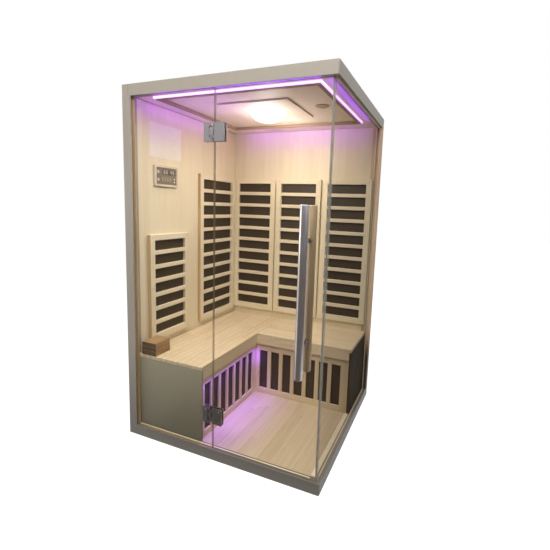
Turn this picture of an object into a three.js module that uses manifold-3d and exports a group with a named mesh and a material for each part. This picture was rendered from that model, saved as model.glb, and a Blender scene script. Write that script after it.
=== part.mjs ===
// Infrared sauna cabin for one or two people: timber left and back walls, glass front and right side,
// a hinged glass door, a corner bench and carbon heaters behind slatted grilles.
// Millimetres, +Z up, the front towards -Y and the glass side towards +X.
// The origin is on the floor under the middle of the footprint.

import * as THREE from 'three';
import { mergeVertices } from 'three/addons/utils/BufferGeometryUtils.js';
import Module from 'manifold-3d';

const wasm = await Module();
wasm.setup();

// Cabin shell
const width = 1150;
const depth = 1070;
const height = 1900;
const wallThick = 57;
const skinThick = 15;
const liningThick = 12;
const stileWidth = 45;
const baseHeight = 57;
const roofHeight = 57;
const railWidth = 50;
const wallRailWidth = 20;
const bearerWidth = 60;
const floorThick = 15;
const coverThick = 12;
const ledge = 12;
const cornerRadius = 8;
const arcSteps = 6;
const rodSides = 24;
const barSides = 32;
const discSides = 40;
const fit = 0.3;
const overcut = 2;

// Glass
const glassThick = 8;
const glassInset = 8;
const sideGlassInset = 18;
const grooveDepth = 10;
const grooveSlack = 0.5;
const fixedPaneWidth = 502;
const paneGap = 6;
const doorGap = 5;
const sealGap = 4;
const sealWall = 1.2;
const sealReach = 12;

// Hinges
const lowerHingeInset = 180;
const upperHingeInset = 193;
const hingeHeight = 86;
const hingeAxisSetback = 12;
const fixedPlateWidth = 28;
const doorPlateWidth = 55;
const plateThick = 7;
const knuckleRadius = 10;
const knuckleHeight = 30;
const earHeight = 10;
const pinRadius = 4;
const pinProud = 2;
const pinClearance = 0.05;
const notchReach = 36;

// Handle
const barRadius = 19.5;
const barWall = 1.5;
const barChamfer = 2;
const barLength = 765;
const boltSpacing = 460;
const boltRadius = 6;
const boltTipGap = 1.3;
const standoffRadius = 9;
const handleStandoff = 53;
const handleInset = 90;
const handleDrop = 7;

// Wall heaters
const heaterThick = 22;
const heaterStile = 37;
const heaterTopRail = 33;
const heaterBottomRail = 38;
const heaterSlat = 24;
const heaterAboveBench = 39;
const tallHeaterHeight = 996;
const tallSlotCount = 11;
const shortHeaterHeight = 618;
const shortSlotCount = 7;
const shortHeaterShare = 0.4389;
const shortHeaterFromFront = 102;
const leftHeaterGap = 119;
const tallHeaterFromBack = 9;
const backHeaterCount = 3;
const backHeaterGap = 12;
const backHeaterMargin = 14;
const backHeaterFromGlass = 13;
const backHeaterLift = 14;
const carbonThick = 5;
const pocketDepth = 10;
const pocketMargin = 9;

// Bench
const benchHeight = 475;
const benchTopThick = 20;
const leftBenchReach = 425;
const backBenchReach = 383;
const apronDrop = 73;
const apronOverhang = 14;
const benchPanelThick = 12;
const benchTopRail = 44;
const benchBottomRail = 37;
const leftBenchSlat = 20;
const backBenchSlat = 26;
const benchFrontStile = 35;
const benchCornerStile = 42;
const benchInnerStile = 28;
const benchEndStile = 52;
const benchSlotCount = 7;
const benchGlassGap = 9;
const benchSideGap = 3;
const cleatHeight = 40;
const cleatThick = 25;

// Ceiling lights
const lightFrameLeft = 121;
const lightFrameRight = 68;
const lightFrameFront = 32;
const lightFrameBack = 195;
const lightFrameHeight = 17;
const lightFrameWidth = 18;
const ledThick = 7;
const ledHeight = 10;
const ledDrop = 2;
const benchLedWidth = 4;
const benchLedHeight = 7;
const lampBoardWidth = 405;
const lampBoardDepth = 375;
const lampBoardThick = 8;
const lampRadius = 96;
const lampBaseHeight = 12;
const domeHeight = 46;
const domeWall = 2.5;
const domeRimInset = 5;
const domeSteps = 8;

// Speaker, power supply and controls
const speakerRadius = 36;
const speakerThick = 5;
const speakerRim = 7;
const speakerSlotCount = 5;
const speakerFromFrame = 102;
const powerBoxWidth = 220;
const powerBoxDepth = 150;
const powerBoxHeight = 28;
const powerBoxFromBack = 120;
const boxWall = 2;
const inletWidth = 48;
const inletHeight = 26;
const inletDepth = 40;
const inletWall = 4;
const inletFlange = 5;
const inletFlangeThick = 2;
const inletFromRight = 260;
const blade = 4;
const bladeLength = 16;
const panelWidth = 190;
const panelHeight = 118;
const panelThick = 14;
const panelRim = 12;
const panelCorner = 6;
const panelFromFront = 155;
const panelBottom = 1405;
const faceThick = 6;
const faceRecess = 3;
const roundButtonRadius = 8;
const roundButtonSpacing = 43;
const keyWidth = 11;
const keyHeight = 23;
const keyPitch = 21;
const keyCount = 4;
const keyFromLeft = 55;
const keyFromBottom = 29;
const buttonFromLeft = 27;
const buttonProud = 2;
const buttonFlange = 1.2;
const buttonFlangeThick = 1.5;

// Loose wooden box on the bench
const boxLength = 97;
const boxDepth = 112;
const boxHeight = 72;
const boxSide = 12;
const boxFromHeater = 3;
const boxGroove = 2;

// Finishes
const taupePaint = new THREE.MeshStandardMaterial({ color: 0xa39b8f, roughness: 0.55 });
const paleTimber = new THREE.MeshStandardMaterial({ color: 0xe3cda6, roughness: 0.6 });
const seatTimber = new THREE.MeshStandardMaterial({ color: 0xd9c29a, roughness: 0.6 });
const floorTimber = new THREE.MeshStandardMaterial({ color: 0xc4aa8a, roughness: 0.6 });
const tanTimber = new THREE.MeshStandardMaterial({ color: 0xc29f78, roughness: 0.65 });
const brownTimber = new THREE.MeshStandardMaterial({ color: 0x9a7a55, roughness: 0.65 });
const darkTimber = new THREE.MeshStandardMaterial({ color: 0x4a3c2a, roughness: 0.6 });
const carbonFilm = new THREE.MeshStandardMaterial({ color: 0x3a322a, roughness: 0.7 });
const clearGlass = new THREE.MeshStandardMaterial({
  color: 0xe6eeea, roughness: 0.05, transparent: true, opacity: 0.25,
});
const satinSteel = new THREE.MeshStandardMaterial({ color: 0x9b9a97, roughness: 0.35, metalness: 0.9 });
const clearSeal = new THREE.MeshStandardMaterial({ color: 0xd8d8d2, roughness: 0.4 });
const ledDiffuser = new THREE.MeshStandardMaterial({ color: 0xefe2ff, roughness: 0.5, emissive: 0xb58cff });
const opalGlass = new THREE.MeshStandardMaterial({ color: 0xfff4dc, roughness: 0.4, emissive: 0xfff0cc });
const whiteMetal = new THREE.MeshStandardMaterial({ color: 0xe8e6e0, roughness: 0.45 });
const palePlastic = new THREE.MeshStandardMaterial({ color: 0xd6d0c2, roughness: 0.45 });
const darkPlastic = new THREE.MeshStandardMaterial({ color: 0x4c453c, roughness: 0.5 });

// Planes that several pieces share
const floorTop = baseHeight;
const ceiling = height - roofHeight;
const backFace = depth - wallThick;
const glassMid = glassInset + glassThick / 2;
const glassBack = glassInset + glassThick;
const sideGlassIn = width - sideGlassInset - glassThick;
const sideGlassOut = width - sideGlassInset;
const frameLeft = wallThick + fit;
const jointX = wallThick + fixedPaneWidth + paneGap / 2;
const paneBottom = baseHeight - grooveDepth + fit;
const paneTop = ceiling + grooveDepth - fit;
const doorLeft = jointX + paneGap / 2;
const doorBottom = baseHeight + doorGap;
const doorTop = ceiling - doorGap;
const benchTopBottom = benchHeight - benchTopThick;
const leftApronFace = wallThick + leftBenchReach;
const backApronFace = backFace - backBenchReach;
const leftGrilleFace = leftApronFace - apronOverhang;
const backGrilleFace = backApronFace + apronOverhang;
const apronBottom = benchHeight - apronDrop;
const benchFront = glassBack + benchGlassGap;
const benchRight = sideGlassIn - benchSideGap;

const cabin = new THREE.Group();
cabin.position.set(-width / 2, -depth / 2, 0);

function addPart(name, geometry, material, parent = cabin) {
  const mesh = new THREE.Mesh(geometry, material);
  mesh.name = name;
  parent.add(mesh);
  return mesh;
}

function block(x0, x1, y0, y1, z0, z1) {
  const geometry = new THREE.BoxGeometry(x1 - x0, y1 - y0, z1 - z0);
  return geometry.translate((x0 + x1) / 2, (y0 + y1) / 2, (z0 + z1) / 2);
}

function toSolid(geometry) {
  const bare = geometry.clone();
  bare.deleteAttribute('normal');
  bare.deleteAttribute('uv');
  const merged = mergeVertices(bare);
  const vertProperties = Float32Array.from(merged.attributes.position.array);
  const triVerts = Uint32Array.from(merged.index.array);
  return new wasm.Manifold(new wasm.Mesh({ numProp: 3, vertProperties, triVerts }));
}

function toGeometry(solid) {
  const { vertProperties, triVerts } = solid.getMesh();
  const geometry = new THREE.BufferGeometry();
  geometry.setAttribute('position', new THREE.BufferAttribute(vertProperties, 3));
  geometry.setIndex(new THREE.BufferAttribute(triVerts, 1));
  geometry.computeVertexNormals();
  return geometry;
}

function cut(body, ...tools) {
  return toGeometry(tools.reduce((rest, tool) => rest.subtract(toSolid(tool)), toSolid(body)));
}

function join(first, ...others) {
  return toGeometry(others.reduce((whole, other) => whole.add(toSolid(other)), toSolid(first)));
}

// A rectangle with its own radius at each corner, from the front left one anticlockwise.
function roundedRectangle(x0, x1, y0, y1, radii) {
  const corners = [[x0, y0, 1, 1], [x1, y0, -1, 1], [x1, y1, -1, -1], [x0, y1, 1, -1]];
  const points = corners.flatMap(([x, y, inX, inY], corner) => {
    const radius = radii[corner];
    if (radius === 0) return [new THREE.Vector2(x, y)];
    const start = Math.PI + corner * Math.PI / 2;
    const arc = new THREE.EllipseCurve(x + inX * radius, y + inY * radius, radius, radius,
      start, start + Math.PI / 2);
    return arc.getPoints(arcSteps);
  });
  return new THREE.Shape(points);
}

function prism(shape, z0, z1) {
  const settings = { depth: z1 - z0, bevelEnabled: false };
  return new THREE.ExtrudeGeometry(shape, settings).translate(0, 0, z0);
}

function rod(radius, z0, z1, sides = rodSides) {
  const geometry = new THREE.CylinderGeometry(radius, radius, z1 - z0, sides);
  return geometry.rotateX(Math.PI / 2).translate(0, 0, (z0 + z1) / 2);
}

// A rectangular ring of one width all round.
function ring(x0, x1, y0, y1, z0, z1, wide) {
  const hole = block(x0 + wide, x1 - wide, y0 + wide, y1 - wide, z0 - overcut, z1 + overcut);
  return cut(block(x0, x1, y0, y1, z0, z1), hole);
}

// Groups whose own X runs along a wall, Y up it and Z out of it into the cabin.
const leftWallFace = new THREE.Group();
leftWallFace.position.set(wallThick + fit, 0, 0);
leftWallFace.rotation.set(Math.PI / 2, Math.PI / 2, 0);
cabin.add(leftWallFace);

const backWallFace = new THREE.Group();
backWallFace.position.set(0, backFace - fit, 0);
backWallFace.rotation.set(Math.PI / 2, 0, 0);
cabin.add(backWallFace);

function addBase() {
  const whole = roundedRectangle(frameLeft, width, 0, depth, [0, cornerRadius, cornerRadius, 0]);
  const inLeft = frameLeft + wallRailWidth;
  const inRight = width - railWidth;
  const bearerFront = (depth - bearerWidth) / 2;
  const bearerBack = (depth + bearerWidth) / 2;
  const seat = baseHeight - floorThick;
  const over = baseHeight + overcut;
  const grooveBottom = baseHeight - grooveDepth;
  const grooveBack = backFace + grooveDepth;
  const frame = cut(
    prism(whole, 0, baseHeight),
    block(inLeft, inRight, railWidth, bearerFront, -overcut, over),
    block(inLeft, inRight, bearerBack, backFace, -overcut, over),
    block(inLeft - ledge, inRight + ledge, railWidth - ledge, backFace + ledge, seat, over),
    block(frameLeft - overcut, jointX - paneGap / 2 + fit,
      glassInset - grooveSlack, glassBack + grooveSlack, grooveBottom, over),
    block(sideGlassIn - grooveSlack, sideGlassOut + grooveSlack,
      glassBack + sealGap - fit, grooveBack, grooveBottom, over),
  );
  addPart('base_frame', frame, taupePaint);
  addPart('floor_panel', block(inLeft - ledge + fit, inRight + ledge - fit,
    railWidth - ledge + fit, backFace + ledge - fit, seat, floorTop), floorTimber);
}

function addWalls() {
  const leftPlan = roundedRectangle(0, wallThick, 0, depth, [cornerRadius, 0, 0, cornerRadius]);
  const liningBack = wallThick - liningThick;
  const leftShell = cut(
    prism(leftPlan, 0, height),
    block(skinThick, wallThick + overcut, stileWidth, depth - wallThick, baseHeight, ceiling),
    block(wallThick - grooveDepth, wallThick + overcut,
      glassInset - grooveSlack, glassBack + grooveSlack, baseHeight - grooveDepth, ceiling + grooveDepth),
  );
  addPart('left_wall_shell', leftShell, taupePaint);
  addPart('left_wall_lining', block(liningBack, wallThick, stileWidth + fit, depth - wallThick - fit,
    baseHeight + fit, ceiling - fit), paleTimber);

  const backPlan = roundedRectangle(frameLeft, width, backFace, depth, [0, 0, cornerRadius, 0]);
  const stileLeft = frameLeft + stileWidth;
  const stileRight = width - wallThick;
  const backShell = cut(
    prism(backPlan, baseHeight + fit, ceiling - fit),
    block(stileLeft, stileRight, backFace - overcut, depth - skinThick,
      baseHeight + stileWidth, ceiling - stileWidth),
    block(frameLeft - overcut, stileRight, backFace - overcut, backFace + liningThick + fit,
      baseHeight, ceiling),
    block(sideGlassIn - grooveSlack, sideGlassOut + grooveSlack, backFace - overcut, backFace + grooveDepth,
      baseHeight, ceiling),
  );
  addPart('back_wall_shell', backShell, tanTimber);
  addPart('back_wall_lining', block(frameLeft, stileRight - fit, backFace, backFace + liningThick,
    baseHeight + fit, ceiling - fit), paleTimber);
}

function addRoof() {
  const whole = roundedRectangle(frameLeft, width, 0, depth, [0, cornerRadius, cornerRadius, 0]);
  const inLeft = frameLeft + wallRailWidth;
  const inRight = width - railWidth;
  const liningTop = ceiling + liningThick;
  const coverBottom = height - coverThick;
  const inletMid = (liningTop + coverBottom) / 2;
  const inletX = width - inletFromRight;
  const grooveTop = ceiling + grooveDepth;
  const frame = cut(
    prism(whole, ceiling, height),
    block(inLeft, inRight, railWidth, backFace, ceiling - overcut, height + overcut),
    block(inLeft - ledge, inRight + ledge, railWidth - ledge, backFace + ledge,
      ceiling - overcut, liningTop + fit),
    block(inLeft - ledge, inRight + ledge, railWidth - ledge, backFace + ledge,
      coverBottom, height + overcut),
    block(frameLeft - overcut, jointX - paneGap / 2 + fit,
      glassInset - grooveSlack, glassBack + grooveSlack, ceiling - overcut, grooveTop),
    block(sideGlassIn - grooveSlack, sideGlassOut + grooveSlack,
      glassBack + sealGap - fit, backFace + grooveDepth, ceiling - overcut, grooveTop),
    block(inletX - inletWidth / 2, inletX + inletWidth / 2, backFace - overcut, depth + overcut,
      inletMid - inletHeight / 2, inletMid + inletHeight / 2),
  );
  addPart('roof_frame', frame, taupePaint);
  const panelLeft = inLeft - ledge + fit;
  const panelRight = inRight + ledge - fit;
  const panelFront = railWidth - ledge + fit;
  const panelBack = backFace + ledge - fit;
  addPart('ceiling_lining', block(panelLeft, panelRight, panelFront, panelBack, ceiling, liningTop),
    paleTimber);
  addPart('roof_cover', block(panelLeft, panelRight, panelFront, panelBack, coverBottom, height),
    taupePaint);
  addPowerSupply(liningTop, inletX, inletMid);
}

function addPowerSupply(liningTop, inletX, inletMid) {
  const boxLeft = (width - powerBoxWidth) / 2;
  const boxBack = backFace - powerBoxFromBack;
  const boxFront = boxBack - powerBoxDepth;
  const boxTop = liningTop + powerBoxHeight;
  const housing = cut(
    block(boxLeft, boxLeft + powerBoxWidth, boxFront, boxBack, liningTop, boxTop),
    block(boxLeft + boxWall, boxLeft + powerBoxWidth - boxWall, boxFront + boxWall, boxBack - boxWall,
      liningTop - overcut, boxTop - boxWall),
  );
  addPart('power_box', housing, whiteMetal);

  const halfWidth = inletWidth / 2 - fit;
  const halfHeight = inletHeight / 2 - fit;
  const inletFront = depth - inletDepth;
  const flangeBack = depth + fit + inletFlangeThick;
  const cavityFront = depth - inletDepth / 2;
  const body = join(
    block(inletX - halfWidth, inletX + halfWidth, inletFront, depth + fit + inletFlangeThick / 2,
      inletMid - halfHeight, inletMid + halfHeight),
    block(inletX - halfWidth - inletFlange, inletX + halfWidth + inletFlange, depth + fit, flangeBack,
      inletMid - halfHeight - inletFlange, inletMid + halfHeight + inletFlange),
  );
  const hollow = cut(body, block(inletX - halfWidth + inletWall, inletX + halfWidth - inletWall,
    cavityFront, flangeBack + overcut, inletMid - halfHeight + inletWall, inletMid + halfHeight - inletWall));
  const bladePitch = (halfWidth - inletWall) * 2 / 3;
  const blades = [-1, 0, 1].map((side) => block(
    inletX + side * bladePitch - blade / 2, inletX + side * bladePitch + blade / 2,
    cavityFront - overcut, cavityFront + bladeLength, inletMid - blade / 2, inletMid + blade / 2,
  ));
  addPart('power_inlet', join(hollow, ...blades), darkPlastic);
}

// The rectangular recess that a pane's hinge passes through, open at the pane's edge.
function hingeNotch(x0, x1, z) {
  const half = hingeNotchHalf();
  return block(x0, x1, glassInset - overcut, glassBack + overcut, z - half, z + half);
}

function hingeNotchHalf() {
  return knuckleHeight / 2 + fit + earHeight + pinProud + fit;
}

const hingeAxisX = jointX - hingeAxisSetback;
const hingeLevels = { lower: doorBottom + lowerHingeInset, upper: doorTop - upperHingeInset };

function addGlass() {
  const levels = Object.values(hingeLevels);
  const fixedRight = jointX - paneGap / 2;
  const fixedPane = block(wallThick - grooveDepth + fit, fixedRight, glassInset, glassBack,
    paneBottom, paneTop);
  const fixedNotches = levels.map((z) => hingeNotch(hingeAxisX - notchReach, fixedRight + overcut, z));
  addPart('fixed_front_glass', cut(fixedPane, ...fixedNotches), clearGlass);

  const doorPane = block(doorLeft, sideGlassOut, glassInset, glassBack, doorBottom, doorTop);
  const doorNotches = levels.map((z) => hingeNotch(doorLeft - overcut, doorLeft + notchReach, z));
  const boltHoles = handleBoltLevels().map((z) => rod(boltRadius + fit, -overcut, glassThick + overcut)
    .rotateX(-Math.PI / 2).translate(handleX(), glassInset, z));
  addPart('door_glass', cut(doorPane, ...doorNotches, ...boltHoles), clearGlass);

  const sideFront = glassBack + sealGap;
  const sideBack = backFace + grooveDepth - fit;
  addPart('side_glass', block(sideGlassIn, sideGlassOut, sideFront, sideBack, paneBottom, paneTop),
    clearGlass);

  const sealOuter = block(sideGlassIn - fit - sealWall, sideGlassOut + fit + sealWall,
    glassBack + fit, sideFront + sealReach, doorBottom, doorTop);
  const sealChannel = block(sideGlassIn - fit, sideGlassOut + fit,
    sideFront - fit, sideFront + sealReach + overcut, doorBottom - overcut, doorTop + overcut);
  addPart('side_glass_seal', cut(sealOuter, sealChannel), clearSeal);
}

function platePair(x0, x1, half) {
  const inner = glassThick / 2 + fit;
  const outer = inner + plateThick;
  return [block(x0, x1, -outer, -inner, -half, half), block(x0, x1, inner, outer, -half, half)];
}

// Each hinge is made about its own pin: the fixed leaf holds the middle knuckle, the door leaf the two ears.
function addHinge(level, z) {
  const group = new THREE.Group();
  group.position.set(hingeAxisX, glassMid, z);
  cabin.add(group);
  const half = hingeHeight / 2;
  const seatHalf = glassThick / 2 + fit + plateThick / 2;
  const knuckleHalf = knuckleHeight / 2;
  const earBottom = knuckleHalf + fit;
  const earTop = earBottom + earHeight;
  const webHalf = earTop;
  const fixedNear = -(knuckleRadius + glassThick / 2);
  const bore = rod(pinRadius + pinClearance, -half, half);

  const fixedLeaf = join(
    ...platePair(fixedNear - fixedPlateWidth, fixedNear, half),
    block(-notchReach + fit, fixedNear, -seatHalf, seatHalf, -webHalf, webHalf),
    block(fixedNear - overcut, 0, -knuckleRadius, knuckleRadius, -knuckleHalf, knuckleHalf),
    rod(knuckleRadius, -knuckleHalf, knuckleHalf),
  );
  addPart(`${level}_hinge_fixed_leaf`, cut(fixedLeaf, bore), satinSteel, group);

  const doorNear = hingeAxisSetback + overcut;
  const webFar = hingeAxisSetback + paneGap / 2 + notchReach - fit;
  const ears = [-earTop, earBottom].flatMap((bottom) => [
    block(0, doorNear + overcut, -knuckleRadius, knuckleRadius, bottom, bottom + earHeight),
    rod(knuckleRadius, bottom, bottom + earHeight),
  ]);
  const doorLeaf = join(
    ...platePair(doorNear, doorNear + doorPlateWidth, half),
    block(doorNear, webFar, -seatHalf, seatHalf, -webHalf, webHalf),
    ...ears,
  );
  addPart(`${level}_hinge_door_leaf`, cut(doorLeaf, bore), satinSteel, group);
  addPart(`${level}_hinge_pin`, rod(pinRadius, -earTop - pinProud, earTop + pinProud), satinSteel, group);
}

function handleX() {
  return sideGlassOut - handleInset;
}

function handleMiddle() {
  return (doorBottom + doorTop) / 2 - handleDrop;
}

function handleBoltLevels() {
  return [handleMiddle() - boltSpacing / 2, handleMiddle() + boltSpacing / 2];
}

function chamferedBar(radius, length, chamfer) {
  const half = length / 2;
  const outline = [[0, -half], [radius - chamfer, -half], [radius, chamfer - half],
    [radius, half - chamfer], [radius - chamfer, half], [0, half]];
  const points = outline.map(([r, z]) => new THREE.Vector2(r, z));
  return new THREE.LatheGeometry(points, barSides).rotateX(Math.PI / 2);
}

// Two hollow bars, one each side of the door pane, on two through bolts.
function addHandle() {
  const axes = { outer: glassMid - handleStandoff, inner: glassMid + handleStandoff };
  const holes = [-1, 1].map((end) => rod(boltRadius + fit, 0, 2 * barRadius)
    .rotateX(-Math.PI / 2).translate(0, 0, end * boltSpacing / 2));
  for (const [side, y] of Object.entries(axes)) {
    const shell = cut(chamferedBar(barRadius, barLength, barChamfer),
      chamferedBar(barRadius - barWall, barLength - 2 * barWall, barChamfer), ...holes);
    const bar = addPart(`${side}_handle_bar`, shell, satinSteel);
    bar.position.set(handleX(), y, handleMiddle());
    if (side === 'inner') bar.rotation.z = Math.PI;
  }
  const tip = handleStandoff + barRadius - barWall - boltTipGap;
  const seat = handleStandoff - barRadius - fit;
  const face = glassThick / 2 + fit;
  const outline = [[0, -tip], [boltRadius, -tip], [boltRadius, -seat], [standoffRadius, -seat],
    [standoffRadius, -face], [boltRadius, -face], [boltRadius, face], [standoffRadius, face],
    [standoffRadius, seat], [boltRadius, seat], [boltRadius, tip], [0, tip]];
  const profile = outline.map(([r, y]) => new THREE.Vector2(r, y));
  const names = ['lower_handle_bolt', 'upper_handle_bolt'];
  handleBoltLevels().forEach((z, index) => {
    const bolt = addPart(names[index], new THREE.LatheGeometry(profile, rodSides), satinSteel);
    bolt.position.set(handleX(), glassMid, z);
  });
}

// A flat panel with a row of equal slots, and the openings' common rectangle.
function slottedPanel({ wide, high, thick, sides, ends, slat, count, upright }) {
  const clear = { x0: sides[0], x1: wide - sides[1], y0: ends[0], y1: high - ends[1] };
  const run = upright ? clear.x1 - clear.x0 : clear.y1 - clear.y0;
  const slot = (run - (count - 1) * slat) / count;
  const slots = Array.from({ length: count }, (_, index) => {
    const start = index * (slot + slat);
    if (upright) {
      const left = clear.x0 + start;
      return block(left, left + slot, clear.y0, clear.y1, -overcut, thick + overcut);
    }
    const bottom = clear.y0 + start;
    return block(clear.x0, clear.x1, bottom, bottom + slot, -overcut, thick + overcut);
  });
  return { geometry: cut(block(0, wide, 0, high, 0, thick), ...slots), clear };
}

// A grille with a pocket in its back that holds the carbon panel against the wall.
function addHeater(name, face, left, wide, high, count, lift = 0) {
  const bottom = benchHeight + heaterAboveBench + lift;
  const { geometry, clear } = slottedPanel({
    wide, high, thick: heaterThick, sides: [heaterStile, heaterStile],
    ends: [heaterBottomRail, heaterTopRail],
    slat: heaterSlat, count, upright: false,
  });
  const pocket = block(clear.x0 - pocketMargin, clear.x1 + pocketMargin,
    clear.y0 - pocketMargin, clear.y1 + pocketMargin, -overcut, pocketDepth);
  const carbon = block(clear.x0 - pocketMargin + fit, clear.x1 + pocketMargin - fit,
    clear.y0 - pocketMargin + fit, clear.y1 + pocketMargin - fit, 0, carbonThick);
  addPart(`${name}_grille`, cut(geometry, pocket), paleTimber, face).position.set(left, bottom, 0);
  addPart(`${name}_carbon_panel`, carbon, carbonFilm, face).position.set(left, bottom, 0);
}

function addWallHeaters() {
  const leftRunBack = backFace - heaterThick - tallHeaterFromBack;
  const leftRun = leftRunBack - shortHeaterFromFront - leftHeaterGap;
  const shortWidth = leftRun * shortHeaterShare;
  const tallWidth = leftRun - shortWidth;
  addHeater('left_short_heater', leftWallFace, shortHeaterFromFront, shortWidth,
    shortHeaterHeight, shortSlotCount);
  addHeater('left_tall_heater', leftWallFace, leftRunBack - tallWidth, tallWidth,
    tallHeaterHeight, tallSlotCount);
  const runLeft = wallThick + backHeaterMargin;
  const runRight = sideGlassIn - backHeaterFromGlass;
  const wide = (runRight - runLeft - (backHeaterCount - 1) * backHeaterGap) / backHeaterCount;
  for (let index = 0; index < backHeaterCount; index += 1) {
    const left = runLeft + index * (wide + backHeaterGap);
    addHeater(`back_heater_${index + 1}`, backWallFace, left, wide, tallHeaterHeight - backHeaterLift,
      tallSlotCount, backHeaterLift);
  }
}

// An upright slotted panel with a deeper apron along its top, and the carbon panel behind it.
function addBenchFront(name, face, { wide, apronLength, top, sides, slat }) {
  const high = top - (benchTopBottom - fit - apronBottom);
  const { geometry, clear } = slottedPanel({
    wide, high, thick: benchPanelThick, sides, ends: [benchBottomRail, benchTopRail],
    slat, count: benchSlotCount, upright: true,
  });
  const apron = join(
    block(0, apronLength, high, top, 0, benchPanelThick + apronOverhang),
    block(0, apronLength, high - overcut, high + overcut, 0, benchPanelThick / 2),
  );
  addPart(`${name}_front`, join(geometry, apron), seatTimber, face);
  const carbon = block(clear.x0 - pocketMargin, clear.x1 + pocketMargin,
    clear.y0 - pocketMargin, clear.y1 + pocketMargin, -fit - carbonThick, -fit);
  addPart(`${name}_carbon_panel`, carbon, carbonFilm, face);
}

function addBench() {
  const wallSide = wallThick + fit;
  const backSide = backFace - fit;
  const panelTop = benchTopBottom - fit;
  const panelBottom = floorTop + fit;
  const endThick = benchPanelThick;
  addPart('left_bench_top', block(wallSide, leftApronFace, benchFront, backSide, benchTopBottom, benchHeight),
    seatTimber);
  addPart('back_bench_top', block(leftApronFace + fit, benchRight, backApronFace, backSide,
    benchTopBottom, benchHeight), seatTimber);

  const endBack = benchFront + endThick;
  addPart('bench_front_end_panel', block(wallSide, leftApronFace, benchFront, endBack, panelBottom, panelTop),
    taupePaint);
  const endLeft = benchRight - endThick;
  addPart('bench_right_end_panel', block(endLeft, benchRight, backApronFace, backSide, panelBottom, panelTop),
    darkTimber);

  const grilleBack = backGrilleFace + benchPanelThick;
  const leftFront = endBack + fit;
  const leftFace = new THREE.Group();
  leftFace.position.set(leftGrilleFace - benchPanelThick, leftFront, panelBottom);
  leftFace.rotation.set(Math.PI / 2, Math.PI / 2, 0);
  cabin.add(leftFace);
  addBenchFront('left_bench', leftFace, {
    wide: grilleBack - leftFront, apronLength: backApronFace - fit - leftFront,
    top: panelTop - panelBottom, sides: [benchFrontStile, benchCornerStile + benchPanelThick],
    slat: leftBenchSlat,
  });

  const backLeft = leftGrilleFace + fit;
  const backWide = endLeft - fit - backLeft;
  const backFaceGroup = new THREE.Group();
  backFaceGroup.position.set(backLeft, grilleBack, panelBottom);
  backFaceGroup.rotation.set(Math.PI / 2, 0, 0);
  cabin.add(backFaceGroup);
  addBenchFront('back_bench', backFaceGroup, {
    wide: backWide, apronLength: backWide, top: panelTop - panelBottom,
    sides: [benchInnerStile, benchEndStile], slat: backBenchSlat,
  });

  const cleatBottom = panelTop - cleatHeight;
  const cleat = join(
    block(wallSide, wallSide + cleatThick, endBack + fit, backSide, cleatBottom, panelTop),
    block(wallSide, endLeft - fit, backSide - cleatThick, backSide, cleatBottom, panelTop),
  );
  addPart('bench_wall_cleat', cleat, brownTimber);

  const ledLeft = leftGrilleFace + fit;
  addPart('bench_led_strip', block(ledLeft, ledLeft + benchLedWidth, leftFront, backApronFace - fit,
    apronBottom - fit - benchLedHeight, apronBottom - fit), ledDiffuser);
}

function addCeilingLights() {
  const x0 = wallThick + lightFrameLeft;
  const x1 = sideGlassIn - lightFrameRight;
  const y0 = glassBack + lightFrameFront;
  const y1 = backFace - lightFrameBack;
  const top = ceiling - fit;
  addPart('ceiling_light_frame', ring(x0, x1, y0, y1, top - lightFrameHeight, top, lightFrameWidth),
    brownTimber);

  const ledTop = top - ledDrop;
  const ledOut = fit + ledThick;
  addPart('ceiling_led_strip', ring(x0 - ledOut, x1 + ledOut, y0 - ledOut, y1 + ledOut,
    ledTop - ledHeight, ledTop, ledThick), ledDiffuser);

  const lampX = (x0 + x1) / 2;
  const lampY = (y0 + y1) / 2;
  const boardBottom = top - lampBoardThick;
  addPart('lamp_board', block(lampX - lampBoardWidth / 2, lampX + lampBoardWidth / 2,
    lampY - lampBoardDepth / 2, lampY + lampBoardDepth / 2, boardBottom, top), paleTimber);
  const lampBase = addPart('lamp_base', rod(lampRadius, -lampBaseHeight, 0, discSides), whiteMetal);
  lampBase.position.set(lampX, lampY, boardBottom);
  const lampDome = addPart('lamp_dome', domeShell(), opalGlass);
  lampDome.position.set(lampX, lampY, boardBottom - lampBaseHeight - fit);

  const speaker = addPart('ceiling_speaker', speakerGrille(), darkPlastic);
  speaker.position.set(x1 - lightFrameWidth - speakerFromFrame, lampY, top);
}

// A shallow opal dome that hangs below the lamp base, open at the top.
function domeShell() {
  const rimRadius = lampRadius - domeRimInset;
  const quarterOval = (radius, drop) => Array.from({ length: domeSteps + 1 }, (_, step) => {
    const angle = step / domeSteps * Math.PI / 2;
    return new THREE.Vector2(radius * Math.sin(angle), -drop * Math.cos(angle));
  });
  const outer = quarterOval(rimRadius, domeHeight);
  const inner = quarterOval(rimRadius - domeWall, domeHeight - domeWall);
  return new THREE.LatheGeometry([...outer, ...inner.reverse()], barSides).rotateX(Math.PI / 2);
}

// A round plate with straight slots, facing down.
function speakerGrille() {
  const reach = speakerRadius - speakerRim;
  const pitch = 2 * reach / speakerSlotCount;
  const slots = Array.from({ length: speakerSlotCount }, (_, index) => {
    const y = -reach + (index + 0.5) * pitch;
    const half = Math.sqrt(reach ** 2 - (Math.abs(y) + pitch / 4) ** 2);
    return block(-half, half, y - pitch / 4, y + pitch / 4, -speakerThick - overcut, overcut);
  });
  return cut(rod(speakerRadius, -speakerThick, 0, discSides), ...slots);
}

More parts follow.
